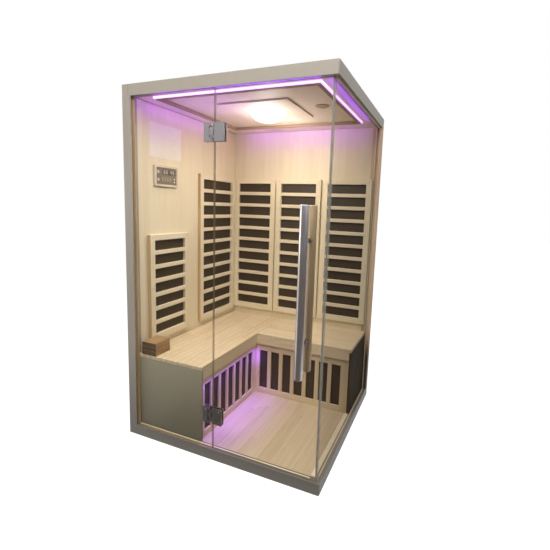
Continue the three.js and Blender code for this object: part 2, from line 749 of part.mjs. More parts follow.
// A framed face with sprung buttons that are pressed towards the wall.
function addControls() {
  const panel = new THREE.Group();
  panel.position.set(panelFromFront, panelBottom, 0);
  leftWallFace.add(panel);
  const rim = roundedRectangle(0, panelWidth, 0, panelHeight, [panelCorner, panelCorner, panelCorner, panelCorner]);
  const window = block(panelRim, panelWidth - panelRim, panelRim, panelHeight - panelRim,
    -overcut, panelThick + overcut);
  addPart('control_bezel', cut(prism(rim, 0, panelThick), window), palePlastic, panel);

  const faceTop = panelThick - faceRecess;
  const faceBottom = faceTop - faceThick;
  const buttonY = panelHeight / 2;
  const rounds = [-1, 1].map((side) => [buttonFromLeft, buttonY + side * roundButtonSpacing / 2]);
  const keys = Array.from({ length: keyCount }, (_, index) => keyFromLeft + index * keyPitch);
  const holeBottom = faceBottom - overcut;
  const holeTop = faceTop + overcut;
  const roundHole = rod(roundButtonRadius + fit, holeBottom, holeTop);
  const roundHoles = rounds.map(([x, y]) => roundHole.clone().translate(x, y, 0));
  const keyHoles = keys.map((x) => block(x - fit, x + keyWidth + fit, keyFromBottom - fit,
    keyFromBottom + keyHeight + fit, holeBottom, holeTop));
  const face = block(panelRim + fit, panelWidth - panelRim - fit,
    panelRim + fit, panelHeight - panelRim - fit, faceBottom, faceTop);
  addPart('control_face', cut(face, ...roundHoles, ...keyHoles), darkPlastic, panel);

  const flangeTop = faceBottom - fit;
  const flangeBottom = flangeTop - buttonFlangeThick;
  const buttonTop = faceTop + buttonProud;
  const roundNames = ['light_button', 'power_button'];
  rounds.forEach(([x, y], index) => {
    const button = join(rod(roundButtonRadius, flangeBottom, buttonTop),
      rod(roundButtonRadius + buttonFlange, flangeBottom, flangeTop));
    addPart(roundNames[index], button, palePlastic, panel).position.set(x, y, 0);
  });
  keys.forEach((x, index) => {
    const key = join(
      block(0, keyWidth, 0, keyHeight, flangeBottom, buttonTop),
      block(-buttonFlange, keyWidth + buttonFlange, -buttonFlange, keyHeight + buttonFlange,
        flangeBottom, flangeTop),
    );
    addPart(`setting_key_${index + 1}`, key, palePlastic, panel).position.set(x, keyFromBottom, 0);
  });
}

// A small lidded box that stands on the bench in the front corner, with two grooves round its sides.
function addWoodenBox() {
  const x0 = wallThick + heaterThick + boxFromHeater;
  const y0 = benchFront;
  const z0 = benchHeight + fit;
  const whole = block(x0, x0 + boxLength, y0, y0 + boxDepth, z0, z0 + boxHeight);
  const hollow = block(x0 + boxSide, x0 + boxLength - boxSide, y0 + boxSide, y0 + boxDepth - boxSide,
    z0 - overcut, z0 + boxHeight - boxSide);
  const grooves = [1, 2].map((index) => {
    const level = z0 + index * boxHeight / 3;
    const band = block(x0 - overcut, x0 + boxLength + overcut, y0 - overcut, y0 + boxDepth + overcut,
      level, level + boxGroove);
    const core = block(x0 + boxGroove, x0 + boxLength - boxGroove, y0 + boxGroove, y0 + boxDepth - boxGroove,
      level - overcut, level + boxGroove + overcut);
    return cut(band, core);
  });
  addPart('wooden_box', cut(whole, hollow, ...grooves), brownTimber);
}

addBase();
addWalls();
addRoof();
addGlass();
addHinge('lower', hingeLevels.lower);
addHinge('upper', hingeLevels.upper);
addHandle();
addWallHeaters();
addBench();
addCeilingLights();
addControls();
addWoodenBox();

const sauna = new THREE.Group();
sauna.add(cabin);

export default sauna;
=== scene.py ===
"""Looks for a glass-fronted infrared sauna cabin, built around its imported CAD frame.

Metres, +Z up, the front towards -Y and the glass side towards +X.
"""

import math

import bmesh
import bpy
from mathutils import Euler, Matrix, Vector


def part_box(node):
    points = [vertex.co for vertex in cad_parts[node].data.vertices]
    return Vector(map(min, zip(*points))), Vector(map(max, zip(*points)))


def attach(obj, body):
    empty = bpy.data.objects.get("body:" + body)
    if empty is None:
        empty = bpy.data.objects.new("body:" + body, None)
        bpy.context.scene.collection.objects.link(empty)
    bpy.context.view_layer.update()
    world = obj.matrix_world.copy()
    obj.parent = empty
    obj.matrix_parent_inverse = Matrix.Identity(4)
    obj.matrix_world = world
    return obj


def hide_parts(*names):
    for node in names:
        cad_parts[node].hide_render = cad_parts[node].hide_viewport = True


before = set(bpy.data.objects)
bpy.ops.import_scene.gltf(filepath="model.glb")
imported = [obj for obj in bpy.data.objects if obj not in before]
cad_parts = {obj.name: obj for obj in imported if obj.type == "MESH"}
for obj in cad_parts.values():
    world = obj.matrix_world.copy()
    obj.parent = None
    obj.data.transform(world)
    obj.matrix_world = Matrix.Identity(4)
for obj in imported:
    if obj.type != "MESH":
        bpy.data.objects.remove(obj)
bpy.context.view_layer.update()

bl_info = {
    "name": "Sauna Cabin Looks",
    "version": (1, 0, 0),
    "blender": (4, 5, 0),
    "location": "View3D > Sidebar > Sauna",
    "description": "Timber, glass, heater and light finishes for an infrared sauna cabin",
    "category": "Object",
}

GRAIN_MAP = "grain"
BOARD_STEP = 10.0
GRAIN_STEP = 0.73
CLEARANCE = 0.0003
SENSOR_WIDTH = 36
X_AXIS = Vector((1, 0, 0))
Y_AXIS = Vector((0, 1, 0))
Z_AXIS = Vector((0, 0, 1))
WALL_HEATERS = {
    "left_short_heater": (7, "left"),
    "left_tall_heater": (11, "left"),
    "back_heater_1": (11, "back"),
    "back_heater_2": (11, "back"),
    "back_heater_3": (11, "back"),
}
BUTTONS = ("light_button", "power_button", "setting_key_1", "setting_key_2", "setting_key_3", "setting_key_4")
SEGMENTS = {"0": "abcdef", "4": "fgbc", "5": "afgcd", "6": "afgedc"}


def srgb(red, green, blue):
    """A colour from its 0 to 255 screen values, as the linear values that shaders use."""
    def linear(value):
        share = value / 255
        return share / 12.92 if share <= 0.04045 else ((share + 0.055) / 1.055) ** 2.4
    return linear(red), linear(green), linear(blue)


def colour_property(name, description, default):
    return bpy.props.FloatVectorProperty(
        name=name, description=description, subtype="COLOR", size=3, min=0, max=1, default=default)


def length_property(name, description, default):
    return bpy.props.FloatProperty(
        name=name, description=description, subtype="DISTANCE", unit="LENGTH", min=0, default=default)


def number_property(name, description, default, unit="NONE"):
    return bpy.props.FloatProperty(name=name, description=description, unit=unit, min=0, default=default)


class TimberSettings(bpy.types.PropertyGroup):
    """Colours and sizes of the timber."""

    lining_pale: colour_property("Lining pale", "Light tone of walls and grilles", srgb(238, 226, 196))
    lining_dark: colour_property("Lining dark", "Dark tone of walls and grilles", srgb(224, 206, 168))
    # The ceiling's tones are the wood's, tinted pink as painted violet light from the strip.
    ceiling_pale: colour_property("Ceiling pale", "Light tone of the ceiling", srgb(242, 226, 210))
    ceiling_dark: colour_property("Ceiling dark", "Dark tone of the ceiling", srgb(228, 206, 186))
    seat_pale: colour_property("Seat pale", "Light tone of the bench", srgb(224, 205, 170))
    seat_dark: colour_property("Seat dark", "Dark tone of the bench", srgb(202, 178, 138))
    floor_pale: colour_property("Floor pale", "Light tone of the floor", srgb(206, 187, 154))
    floor_dark: colour_property("Floor dark", "Dark tone of the floor", srgb(187, 164, 129))
    brown_pale: colour_property("Brown pale", "Light tone of battens and beads", srgb(204, 174, 130))
    brown_dark: colour_property("Brown dark", "Dark tone of battens and beads", srgb(172, 140, 98))
    batten_pale: colour_property("Batten pale", "Light tone of the ceiling battens", srgb(180, 152, 130))
    batten_dark: colour_property("Batten dark", "Dark tone of the ceiling battens", srgb(152, 122, 102))
    post_pale: colour_property("Post pale", "Light tone of the back wall's shell", srgb(216, 186, 152))
    post_dark: colour_property("Post dark", "Dark tone of the back wall's shell", srgb(194, 160, 126))
    box_pale: colour_property("Box pale", "Light tone of the box on the bench", srgb(172, 142, 102))
    box_dark: colour_property("Box dark", "Dark tone of the box on the bench", srgb(138, 106, 68))
    # These tones are painted shade on the right bench end, darker than its wood.
    shade_pale: colour_property("Shade pale", "Light tone of the right bench end", srgb(88, 75, 52))
    shade_dark: colour_property("Shade dark", "Dark tone of the right bench end", srgb(60, 50, 34))
    # The gasket is paler than its own tan: painted light lifting the shade in the groove.
    gasket: colour_property("Gasket", "Strip that holds the side pane", srgb(246, 232, 212))
    paint: colour_property("Paint", "Painted outer shell", srgb(168, 160, 147))
    end_paint: colour_property("End paint", "Painted front end of the bench", srgb(174, 164, 137))
    stave_width: length_property("Stave width", "Width of one glued stave", 0.038)
    stave_length: length_property("Stave length", "Length of one glued stave", 0.62)
    edge: length_property("Edge radius", "Rounding of sawn board edges", 0.0015)
    bead_width: length_property("Bead width", "Width of the upright glazing bead", 0.009)
    bead_depth: length_property("Bead depth", "Depth of the beads behind the front glass", 0.006)
    sill_height: length_property("Sill height", "Height of the beads on the floor", 0.011)


class HeaterSettings(bpy.types.PropertyGroup):
    """Sizes of the slatted grilles and the colour of the film behind them."""

    stile: length_property("Stile", "Width of a wall grille's upright sides", 0.037)
    bottom_rail: length_property("Bottom rail", "Height of a wall grille's bottom rail", 0.038)
    top_rail: length_property("Top rail", "Height of a wall grille's top rail", 0.033)
    slat: length_property("Slat", "Height of a wall grille's slat", 0.024)
    slat_depth: length_property("Slat depth", "Thickness of a wall grille's slat", 0.0115)
    slat_recess: length_property("Slat recess", "How far the slats lie behind the frame", 0.0012)
    screw_radius: length_property("Screw radius", "Radius of the frame screw heads", 0.0034)
    front_stile: length_property("Front stile", "Width of the left bench grille's front stile", 0.035)
    corner_stile: length_property(
        "Corner stile", "Width of the left bench grille's stile in the corner", 0.054)
    inner_stile: length_property("Inner stile", "Width of the back bench grille's stile in the corner", 0.028)
    end_stile: length_property("End stile", "Width of the back bench grille's stile at the glass", 0.052)
    bench_top_rail: length_property("Bench top rail", "Height of the bench grilles' top rails", 0.044)
    bench_bottom_rail: length_property(
        "Bench bottom rail", "Height of the bench grilles' bottom rails", 0.037)
    left_slat: length_property("Left slat", "Width of the left bench grille's slat", 0.020)
    back_slat: length_property("Back slat", "Width of the back bench grille's slat", 0.026)
    film: colour_property("Film", "Carbon film", srgb(66, 53, 38))


class FittingSettings(bpy.types.PropertyGroup):
    """Finishes of glass, metal and plastic."""

    glass: colour_property("Glass", "Tint of the panes", srgb(34, 34, 31))
    glass_edge: colour_property("Glass edge", "Tint of the panes' polished edges", srgb(140, 126, 106))
    steel: colour_property("Steel", "Hinges and bolts", srgb(152, 148, 148))
    bar_steel: colour_property("Bar steel", "Outer handle bar", srgb(206, 204, 206))
    warm_steel: colour_property("Warm steel", "Inner handle bar", srgb(198, 176, 144))
    pale_plastic: colour_property("Pale plastic", "Control bezel and round buttons", srgb(212, 200, 176))
    dark_plastic: colour_property("Dark plastic", "Control face and power inlet", srgb(132, 120, 102))
    key: colour_property("Key", "Setting keys", srgb(166, 154, 134))
    window: colour_property("Window", "Display window", srgb(108, 98, 84))
    grille: colour_property("Grille", "Speaker grille", srgb(204, 182, 154))


class LightSettings(bpy.types.PropertyGroup):
    """Built-in lights of the cabin."""

    strip: colour_property("Strip", "Colour of the light strips' core", (0.92, 0.76, 1.0))
    strip_edge: colour_property("Strip edge", "Colour of the light strips' edges", (0.58, 0.32, 0.92))
    strip_strength: number_property("Strip strength", "Brightness of the ceiling strip", 1.8)
    bench_strength: number_property("Bench strip strength", "Brightness of the strip under the bench", 0.3)
    strip_light: colour_property("Strip light", "Colour that the ceiling strip throws", (0.27, 0.03, 1.0))
    bench_light: colour_property("Bench light", "Colour that the bench strip throws", (0.22, 0.05, 1.0))
    strip_power: number_property("Strip power", "Light from one metre of the ceiling strip", 0.54, "POWER")
    bench_power: number_property("Bench strip power", "Light from one metre of the bench strip", 1.5, "POWER")
    lamp: colour_property("Lamp", "Colour of the ceiling lamp", (1.0, 0.96, 0.86))
    lamp_strength: number_property("Lamp strength", "Brightness of the opal dome", 7.0)
    lamp_power: number_property("Lamp power", "Light that the lamp throws into the cabin", 6.0, "POWER")


class StageSettings(bpy.types.PropertyGroup):
    """Camera, studio light and floor."""

    place: bpy.props.FloatVectorProperty(
        name="Camera place", description="Where the camera stands", subtype="TRANSLATION", unit="LENGTH",
        size=3, default=(1.02577, -2.03152, 1.31387))
    turn: bpy.props.FloatVectorProperty(
        name="Camera turn", description="Angles of the camera", subtype="EULER", unit="ROTATION",
        size=3, default=tuple(math.radians(angle) for angle in (82.3721, -2.0266, 22.7098)))
    lens: bpy.props.FloatProperty(
        name="Lens", description="Focal length for a 36 mm sensor, in millimetres", min=1, default=24.424)
    shift: bpy.props.FloatVectorProperty(
        name="Shift", description="Lens shift", size=2, default=(-0.0336, -0.0325))
    key_power: number_property("Key power", "Power of the large front light", 92.0, "POWER")
    sky_strength: number_property("Sky strength", "Even light from all round", 0.21)
    floor_lift: number_property("Floor lift", "Glow that makes the unshaded floor white", 0.97)


class Wire:
    """One socket of a node tree: arithmetic on it adds Math nodes, and node() adds any other node."""

    def __init__(self, tree, socket=None):
        self.tree = tree
        self.socket = socket

    def node(self, kind, settings=None, inputs=None, output=0):
        made = self.tree.nodes.new(kind)
        for key, value in (settings or {}).items():
            setattr(made, key, value)
        for key, value in (inputs or {}).items():
            if isinstance(value, Wire):
                self.tree.links.new(value.socket, made.inputs[key])
            else:
                made.inputs[key].default_value = value
        return Wire(self.tree, made.outputs[output] if made.outputs else None)

    def math(self, operation, *others):
        return self.node("ShaderNodeMath", {"operation": operation}, dict(enumerate((self, *others))))

    def __add__(self, other):
        return self.math("ADD", other)

    __radd__ = __add__

    def __sub__(self, other):
        return self.math("SUBTRACT", other)

    def __rsub__(self, other):
        return self.math("MULTIPLY", -1.0).math("ADD", other)

    def __mul__(self, other):
        return self.math("MULTIPLY", other)

    __rmul__ = __mul__

    def __truediv__(self, other):
        return self.math("DIVIDE", other)

    def split(self):
        """The X, Y and Z values of a vector."""
        return [self.node("ShaderNodeSeparateXYZ", None, {0: self}, axis) for axis in range(3)]

    def place(self):
        """The shaded point in the object's own space."""
        return self.node("ShaderNodeTexCoord", None, None, "Object")

    def facing(self, axis):
        """How far the surface faces along one of the object's axes, from -1 to 1."""
        return self.node("ShaderNodeTexCoord", None, None, "Normal").split()["xyz".index(axis)]

    def vector(self, x, y, z):
        return self.node("ShaderNodeCombineXYZ", None, {0: x, 1: y, 2: z})

    def noise(self, point, scale, detail=2.0, roughness=0.5):
        return self.node("ShaderNodeTexNoise", None,
                         {"Vector": point, "Scale": scale, "Detail": detail, "Roughness": roughness})

    def chance(self, seed):
        """A repeatable value from 0 to 1 for each seed."""
        return self.node("ShaderNodeTexWhiteNoise", {"noise_dimensions": "1D"}, {"W": seed})

    def ramp(self, value, low, high):
        """0 below low, 1 above high and smooth between."""
        return self.node("ShaderNodeMapRange", {"interpolation_type": "SMOOTHSTEP"},
                         {"Value": value, "From Min": low, "From Max": high})

    def mix(self, share, first, second):
        return self.node("ShaderNodeMix", {"data_type": "RGBA"}, {0: share, 6: first, 7: second}, 2)

    def bump(self, height, strength, distance):
        return self.node("ShaderNodeBump", None,
                         {"Height": height, "Strength": strength, "Distance": distance})

    def surface(self, **sockets):
        """Ends the tree in a Principled shader; socket names use _ for spaces."""
        inputs = {key.replace("_", " "): value for key, value in sockets.items()}
        shader = self.node("ShaderNodeBsdfPrincipled", None, inputs)
        self.node("ShaderNodeOutputMaterial", None, {"Surface": shader})


def new_material(name):
    """An empty material and the start of its node tree."""
    material = bpy.data.materials.new(name)
    material.use_nodes = True
    material.node_tree.nodes.clear()
    return material, Wire(material.node_tree)


def opaque(colour):
    return (*colour, 1.0)


def shaded(colour, share):
    """A colour made darker, or lighter where the share is above 1, with full alpha."""
    return opaque([min(1.0, value * share) for value in colour])


def kept(name, make):
    """The named look, made the first time it is asked for and kept apart from the frame's own materials."""
    look = f"look_{name}"
    material = bpy.data.materials.get(look)
    if material is None:
        material, start = new_material(look)
        make(start)
    return material


def wood(name, pale, dark, axes=None, contrast=1.0, joint_and_glint_tone=0.62, joint_and_glint_share=0.3, end_grain_and_shade_tone=1.0,
         gloss=0.35, shade_height=None):
    """Sanded softwood. The grain follows a board's own map, or two object axes over glued staves.

    A stave's seam is darker than the dark tone, or where its tone is above 1 a broken pale line, a painted
    highlight on the staves' rounded edges.
    End grain is the dark tone times the end tone; a low end tone is also painted shade on the end faces.
    Below the given height all but the back is darkened as painted shade."""
    def make(start):
        timber = bpy.context.scene.sauna_timber
        if axes is None:
            length, across, through = start.node("ShaderNodeUVMap", {"uv_map": GRAIN_MAP}).split()
            tone = start.chance((across / BOARD_STEP).math("ROUND"))
            seam = 0.0
        else:
            point = start.place().split()
            length, across = (point["xyz".index(axis)] for axis in axes)
            through = point[3 - "xyz".index(axes[0]) - "xyz".index(axes[1])]
            stave = across / timber.stave_width
            row = stave.math("FLOOR")
            run = length / timber.stave_length + start.chance(row) * 7.0
            tone = start.chance(row * 13.7 + run.math("FLOOR") * 3.1)
            side = stave.math("FRACT")
            end = run.math("FRACT")
            seam_width = 0.11 if joint_and_glint_tone > 1 else 0.022
            seam_across = 1 - start.ramp(side.math("MINIMUM", 1 - side), 0.0, seam_width)
            seam_along = 1 - start.ramp(end.math("MINIMUM", 1 - end), 0.0, 0.0016)
            breaks = start.noise(start.vector(length * 16.0, row * 3.7, 0.0), 1.0, 2.0)
            broken = start.ramp(breaks, 0.42, 0.56)
            seam = seam_across.math("MAXIMUM", seam_along) * (broken if joint_and_glint_tone > 1 else 1.0)
        key = tone * 40.0
        thin = start.vector(length * 5.0 + key, across * 190.0, through * 190.0)
        fibre = start.noise(thin, 1.0, 4.0, 0.62)
        wide = start.vector(length * 0.9 + key, across * 17.0 + key, through * 17.0)
        growth = start.noise(wide, 1.0, 2.0, 0.45)
        streak = (growth * 34.0).math("SINE") * 0.5 + 0.5
        share = (tone - 0.5) * (0.55 * contrast) + (streak - 0.5) * (0.34 * contrast)
        share = share + (fibre - 0.5) * (0.7 * contrast) + 0.4
        colour = start.mix(share.math("MAXIMUM", 0.0).math("MINIMUM", 1.0), opaque(pale), opaque(dark))
        if axes is not None:
            # Dark seams are joints; pale broken seams are a painted highlight.
            colour = start.mix(seam * joint_and_glint_share, colour, shaded(pale if joint_and_glint_tone > 1 else dark, joint_and_glint_tone))
            facing = start.facing(axes[0])
            # End faces darkened: darker end grain, and painted shade where the end tone is low.
            cut = start.ramp(facing.math("ABSOLUTE"), 0.6, 0.9) if end_grain_and_shade_tone < 1 else 0.0
            colour = start.mix(cut, colour, shaded(dark, end_grain_and_shade_tone))
        # Painted shade: below the given height every face but the back is darkened.
        if shade_height is not None:
            behind = start.ramp(start.facing("y"), 0.6, 0.9)
            painted_shade = (1 - start.ramp(point[2], shade_height * 0.6, shade_height)) * (1 - behind)
            colour = start.mix(painted_shade, colour, shaded(dark, 0.12))
        height = fibre * 0.5 + streak * 0.2 - seam
        start.surface(Base_Color=colour, Roughness=fibre * 0.22 + 0.44,
                      Normal=start.bump(height, 0.22, 0.0006), Specular_IOR_Level=gloss)
    return kept(name, make)


def lining_wood(axes=None):
    timber = bpy.context.scene.sauna_timber
    return wood(f"lining_timber_{axes or 'boards'}", timber.lining_pale, timber.lining_dark, axes,
                contrast=0.45, joint_and_glint_tone=0.8, joint_and_glint_share=0.18)


def ceiling_wood():
    timber = bpy.context.scene.sauna_timber
    return wood("ceiling_timber", timber.ceiling_pale, timber.ceiling_dark, "yx",
                contrast=0.45, joint_and_glint_tone=0.8, joint_and_glint_share=0.18)


def seat_wood(axes=None):
    timber = bpy.context.scene.sauna_timber
    # The seat's pale broken seams are a painted highlight.
    return wood(f"seat_timber_{axes or 'boards'}", timber.seat_pale, timber.seat_dark, axes,
                contrast=0.8, joint_and_glint_tone=1.4, joint_and_glint_share=0.7)


def brown_wood(axes=None):
    timber = bpy.context.scene.sauna_timber
    return wood(f"brown_timber_{axes or 'boards'}", timber.brown_pale, timber.brown_dark, axes)


def paint(name, colour):
    """Satin paint over timber: faint grain, clouds of wear, a roller's texture and painted shade darkening it
    towards the floor.
    """
    def make(start):
        place = start.place()
        x, y, z = place.split()
        cloud = start.noise(place, 2.6, 3.0)
        grain = start.noise(start.vector(x * 70.0, y * 70.0, z * 5.0), 1.0, 3.0)
        roller = start.noise(place, 420.0, 2.0)
        share = cloud * 0.7 + grain * 0.3
        clean = start.mix(share, shaded(colour, 0.90), shaded(colour, 1.09))
        # Painted shade: the paint darkens towards the floor, where less light reaches.
        floor_shade = (1 - start.ramp(z, 0.0, 0.6)) * 0.7
        start.surface(Base_Color=start.mix(floor_shade, clean, shaded(colour, 0.25)),
                      Roughness=roller * 0.16 + cloud * 0.14 + 0.34,
                      Normal=start.bump(roller * 0.6 + grain * 0.4, 0.12, 0.0004))
    return kept(name, make)


def carbon_film():
    """Dark laminated film with printed cross lines and a slight mottle."""
    def make(start):
        film = bpy.context.scene.sauna_heater.film
        place = start.place()
        x, y, z = place.split()
        across = ((x + y) * 120.0).math("FRACT")
        along = (z * 40.0).math("FRACT")
        line = (1 - start.ramp(across, 0.0, 0.16)).math("MAXIMUM", 1 - start.ramp(along, 0.0, 0.10))
        mottle = start.noise(place, 55.0, 4.0, 0.6)
        share = mottle * 0.75 + line * 0.25
        start.surface(Base_Color=start.mix(share, shaded(film, 0.72), shaded(film, 1.35)),
                      Roughness=mottle * 0.25 + 0.45,
                      Normal=start.bump(line * 0.4 + mottle * 0.3, 0.2, 0.0004))
    return kept("carbon_film", make)


def steel(name, colour, axis, roughness=0.20):
    """Metal brushed along one object axis."""
    def make(start):
        place = start.place().split()
        fine = [value * (14.0 if letter == axis else 900.0) for value, letter in zip(place, "xyz")]
        brush = start.noise(start.vector(*fine), 1.0, 3.0, 0.6)
        haze = start.noise(start.vector(*place), 14.0, 3.0)
        start.surface(Base_Color=start.mix(brush, shaded(colour, 0.84), shaded(colour, 1.06)),
                      Metallic=1.0, Roughness=brush * 0.16 + haze * 0.12 + roughness,
                      Normal=start.bump(brush, 0.10, 0.0002))
    return kept(name, make)


def pane_glass(name, normal_axis, tint, gloss, gasket, limits):
    """Toughened glass with polished edges. Past a limit, an (axis, place, side), it is set in its gasket."""
    def make(start):
        fitting = bpy.context.scene.sauna_fitting
        facing = start.facing(normal_axis)
        edge = 1 - start.ramp(facing.math("ABSOLUTE"), 0.4, 0.9)
        place = start.place()
        point = place.split()
        held = edge * 0.0
        for axis, limit, side in limits:
            beyond = (point["xyz".index(axis)] - limit) * side
            held = held.math("MAXIMUM", start.ramp(beyond, 0.0, 0.0004))
        film = start.noise(place, 5.0, 4.0, 0.6)
        slant = start.node("ShaderNodeLayerWeight", None, {"Blend": 0.5}, "Facing")
        clear = slant.math("POWER", 5.0) * 0.25 + film * 0.012 + tint
        colour = start.mix(edge, opaque(fitting.glass), opaque(fitting.glass_edge))
        start.surface(Base_Color=start.mix(held, colour, opaque(gasket)),
                      Roughness=film * 0.03 + edge * 0.2 + 0.01,
                      Alpha=clear.math("MAXIMUM", edge * 0.7).math("MAXIMUM", held), Specular_IOR_Level=gloss)
    return kept(name, make)


def plastic(name, colour, roughness=0.4):
    """Moulded plastic with a fine spark texture."""
    def make(start):
        place = start.place()
        spark = start.noise(place, 1500.0, 2.0)
        cloud = start.noise(place, 30.0, 3.0)
        share = cloud * 0.6 + spark * 0.4
        start.surface(Base_Color=start.mix(share, shaded(colour, 0.88), shaded(colour, 1.10)),
                      Roughness=spark * 0.2 + roughness, Normal=start.bump(spark, 0.15, 0.0002))
    return kept(name, make)


def clear_strip():
    """Clear soft plastic with faint ripples."""
    def make(start):
        place = start.place()
        ripple = start.noise(place, 60.0, 3.0)
        start.surface(Base_Color=start.mix(ripple, opaque(srgb(190, 184, 170)), opaque(srgb(214, 208, 196))),
                      Roughness=ripple * 0.2 + 0.2, Alpha=ripple * 0.15 + 0.22,
                      Normal=start.bump(ripple, 0.2, 0.0003), Specular_IOR_Level=0.05)
    return kept("clear_strip", make)


def light_strip(name, node, strength):
    """A lit diffuser: a pale core along its middle height, brighter at each diode, between violet edges."""
    def make(start):
        light = bpy.context.scene.sauna_light
        low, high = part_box(node)
        x, y, z = start.place().split()
        spot = ((x + y) * 60.0).math("FRACT") - 0.5
        glow = 1 - start.ramp(spot.math("ABSOLUTE"), 0.1, 0.5)
        off_middle = (z - (low.z + high.z) / 2).math("ABSOLUTE")
        core = 1 - start.ramp(off_middle, (high.z - low.z) * 0.15, (high.z - low.z) * 0.5)
        colour = start.mix(core * (glow * 0.3 + 0.7), opaque(light.strip_edge), opaque(light.strip))
        start.surface(Base_Color=opaque(srgb(236, 224, 250)), Roughness=glow * 0.1 + 0.4,
                      Emission_Color=colour, Emission_Strength=strength)
    return kept(name, make)


def opal():
    """A lit opal dome, brightest at its middle."""
    def make(start):
        light = bpy.context.scene.sauna_light
        place = start.place()
        rise = place.split()[2]
        low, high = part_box("lamp_dome")
        middle = 1 - start.ramp(rise, low.z, high.z)
        cloud = start.noise(place, 20.0, 2.0)
        colour = start.mix(middle * 0.8 + cloud * 0.2, shaded(light.lamp, 0.72), opaque((1.0, 0.93, 0.78)))
        start.surface(Base_Color=opaque(srgb(250, 244, 230)), Roughness=cloud * 0.1 + 0.25,
                      Emission_Color=colour, Emission_Strength=light.lamp_strength)
    return kept("opal_dome", make)


def display_light(name, colour, strength):
    """A small lit mark on the control panel."""
    def make(start):
        place = start.place()
        flicker = start.noise(place, 900.0, 1.0)
        start.surface(Base_Color=opaque(colour), Roughness=flicker * 0.1 + 0.3,
                      Emission_Color=start.mix(flicker, shaded(colour, 0.85), opaque(colour)),
                      Emission_Strength=strength)
    return kept(name, make)


def new_object(name, mesh, material):
    """Turns a bmesh into an object of the scene."""
    data = bpy.data.meshes.new(name)
    mesh.to_mesh(data)
    mesh.free()
    data.materials.append(material)
    made = bpy.data.objects.new(name, data)
    bpy.context.scene.collection.objects.link(made)
    return made


def add_piece(name, mesh, material, body, replaced=()):
    """Turns a bmesh into a piece that rides on a body and may stand for CAD nodes."""
    piece = new_object(name, mesh, material)
    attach(piece, body)
    if replaced:
        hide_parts(*replaced)
    return piece


def smooth_shape(piece, angle):
    """Smooth shading with edges sharper than the angle kept crisp."""
    piece.data.polygons.foreach_set("use_smooth", [True] * len(piece.data.polygons))
    piece.data.set_sharp_from_angle(angle=angle)


def finish_node(node, material, rounding=0.0):
    """Gives a CAD node its material and, where asked, softly rounded edges."""
    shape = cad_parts[node]
    if not shape.material_slots:
        shape.data.materials.append(material)
    for holder in shape.material_slots:
        holder.material = material
    if rounding:
        weld = shape.modifiers.new("weld", "WELD")
        weld.merge_threshold = 0.00001
        bevel = shape.modifiers.new("round", "BEVEL")
        bevel.width = rounding
        bevel.segments = 2
        bevel.limit_method = "ANGLE"
        bevel.angle_limit = math.radians(40)


class BoardStack:
    """Boards gathered into one mesh, each with rounded edges and its own stretch of the grain map."""

    def __init__(self, first):
        self.mesh = bmesh.new()
        self.grain = self.mesh.loops.layers.uv.new(GRAIN_MAP)
        self.mapped = self.mesh.faces.layers.int.new("mapped")
        self.number = first

    def board(self, low, high, along, edge):
        """One board between two corners, with its grain along axis 0, 1 or 2."""
        low, high = Vector(low), Vector(high)
        verts = bmesh.ops.create_cube(self.mesh, size=1.0)["verts"]
        bmesh.ops.scale(self.mesh, vec=high - low, verts=verts)
        bmesh.ops.translate(self.mesh, vec=(low + high) / 2, verts=verts)
        edges = list({link for vert in verts for link in vert.link_edges})
        bmesh.ops.bevel(self.mesh, geom=edges, offset=edge, offset_type="OFFSET", affect="EDGES",
                        segments=2, profile=0.5, material=-1)
        self.mesh.normal_update()
        for face in self.mesh.faces:
            if not face[self.mapped]:
                self.map_face(face, along)
        self.number += 1

    def map_face(self, face, along):
        facing = max(range(3), key=lambda axis: abs(face.normal[axis]))
        if facing == along:
            lengthwise, across = [axis for axis in range(3) if axis != along]
        else:
            lengthwise, across = along, 3 - along - facing
        for loop in face.loops:
            point = loop.vert.co
            loop[self.grain].uv = (point[lengthwise] + self.number * GRAIN_STEP,
                                   point[across] + self.number * BOARD_STEP)
        face[self.mapped] = 1

    def place(self, matrix):
        bmesh.ops.transform(self.mesh, matrix=matrix, verts=self.mesh.verts)


def add_board(name, first, low, high, along, edge, material):
    """A piece of the cabin that is a single board."""
    stack = BoardStack(first)
    stack.board(low, high, along, edge)
    add_piece(name, stack.mesh, material, "cabin")


def wall_frame(origin, along, out):
    """A matrix whose own X runs along a wall, Y up it and Z out of it."""
    return Matrix.Translation(origin) @ Matrix((along, Z_AXIS, out)).transposed().to_4x4()


def spun(profile, steps):
    """A closed shape turned about Z from (radius, height) points that start and end on the axis."""
    mesh = bmesh.new()
    verts = [mesh.verts.new((radius, 0.0, height)) for radius, height in profile]
    edges = [mesh.edges.new(pair) for pair in zip(verts, verts[1:])]
    bmesh.ops.spin(mesh, geom=verts + edges, cent=(0, 0, 0), axis=(0, 0, 1), angle=math.tau,
                   steps=steps, use_merge=True, use_duplicate=False)
    bmesh.ops.remove_doubles(mesh, verts=mesh.verts, dist=0.000005)
    bmesh.ops.recalc_face_normals(mesh, faces=mesh.faces)
    return mesh


def rounded_end(radius, height, rounding, sign, steps=5):
    """Profile points of a rod's rounded end, from the axis outwards."""
    points = [(0.0, sign * height)]
    for step in range(steps + 1):
        angle = math.pi / 2 * step / steps
        points.append((radius - rounding + rounding * math.sin(angle),
                       sign * (height - rounding + rounding * math.cos(angle))))
    return points


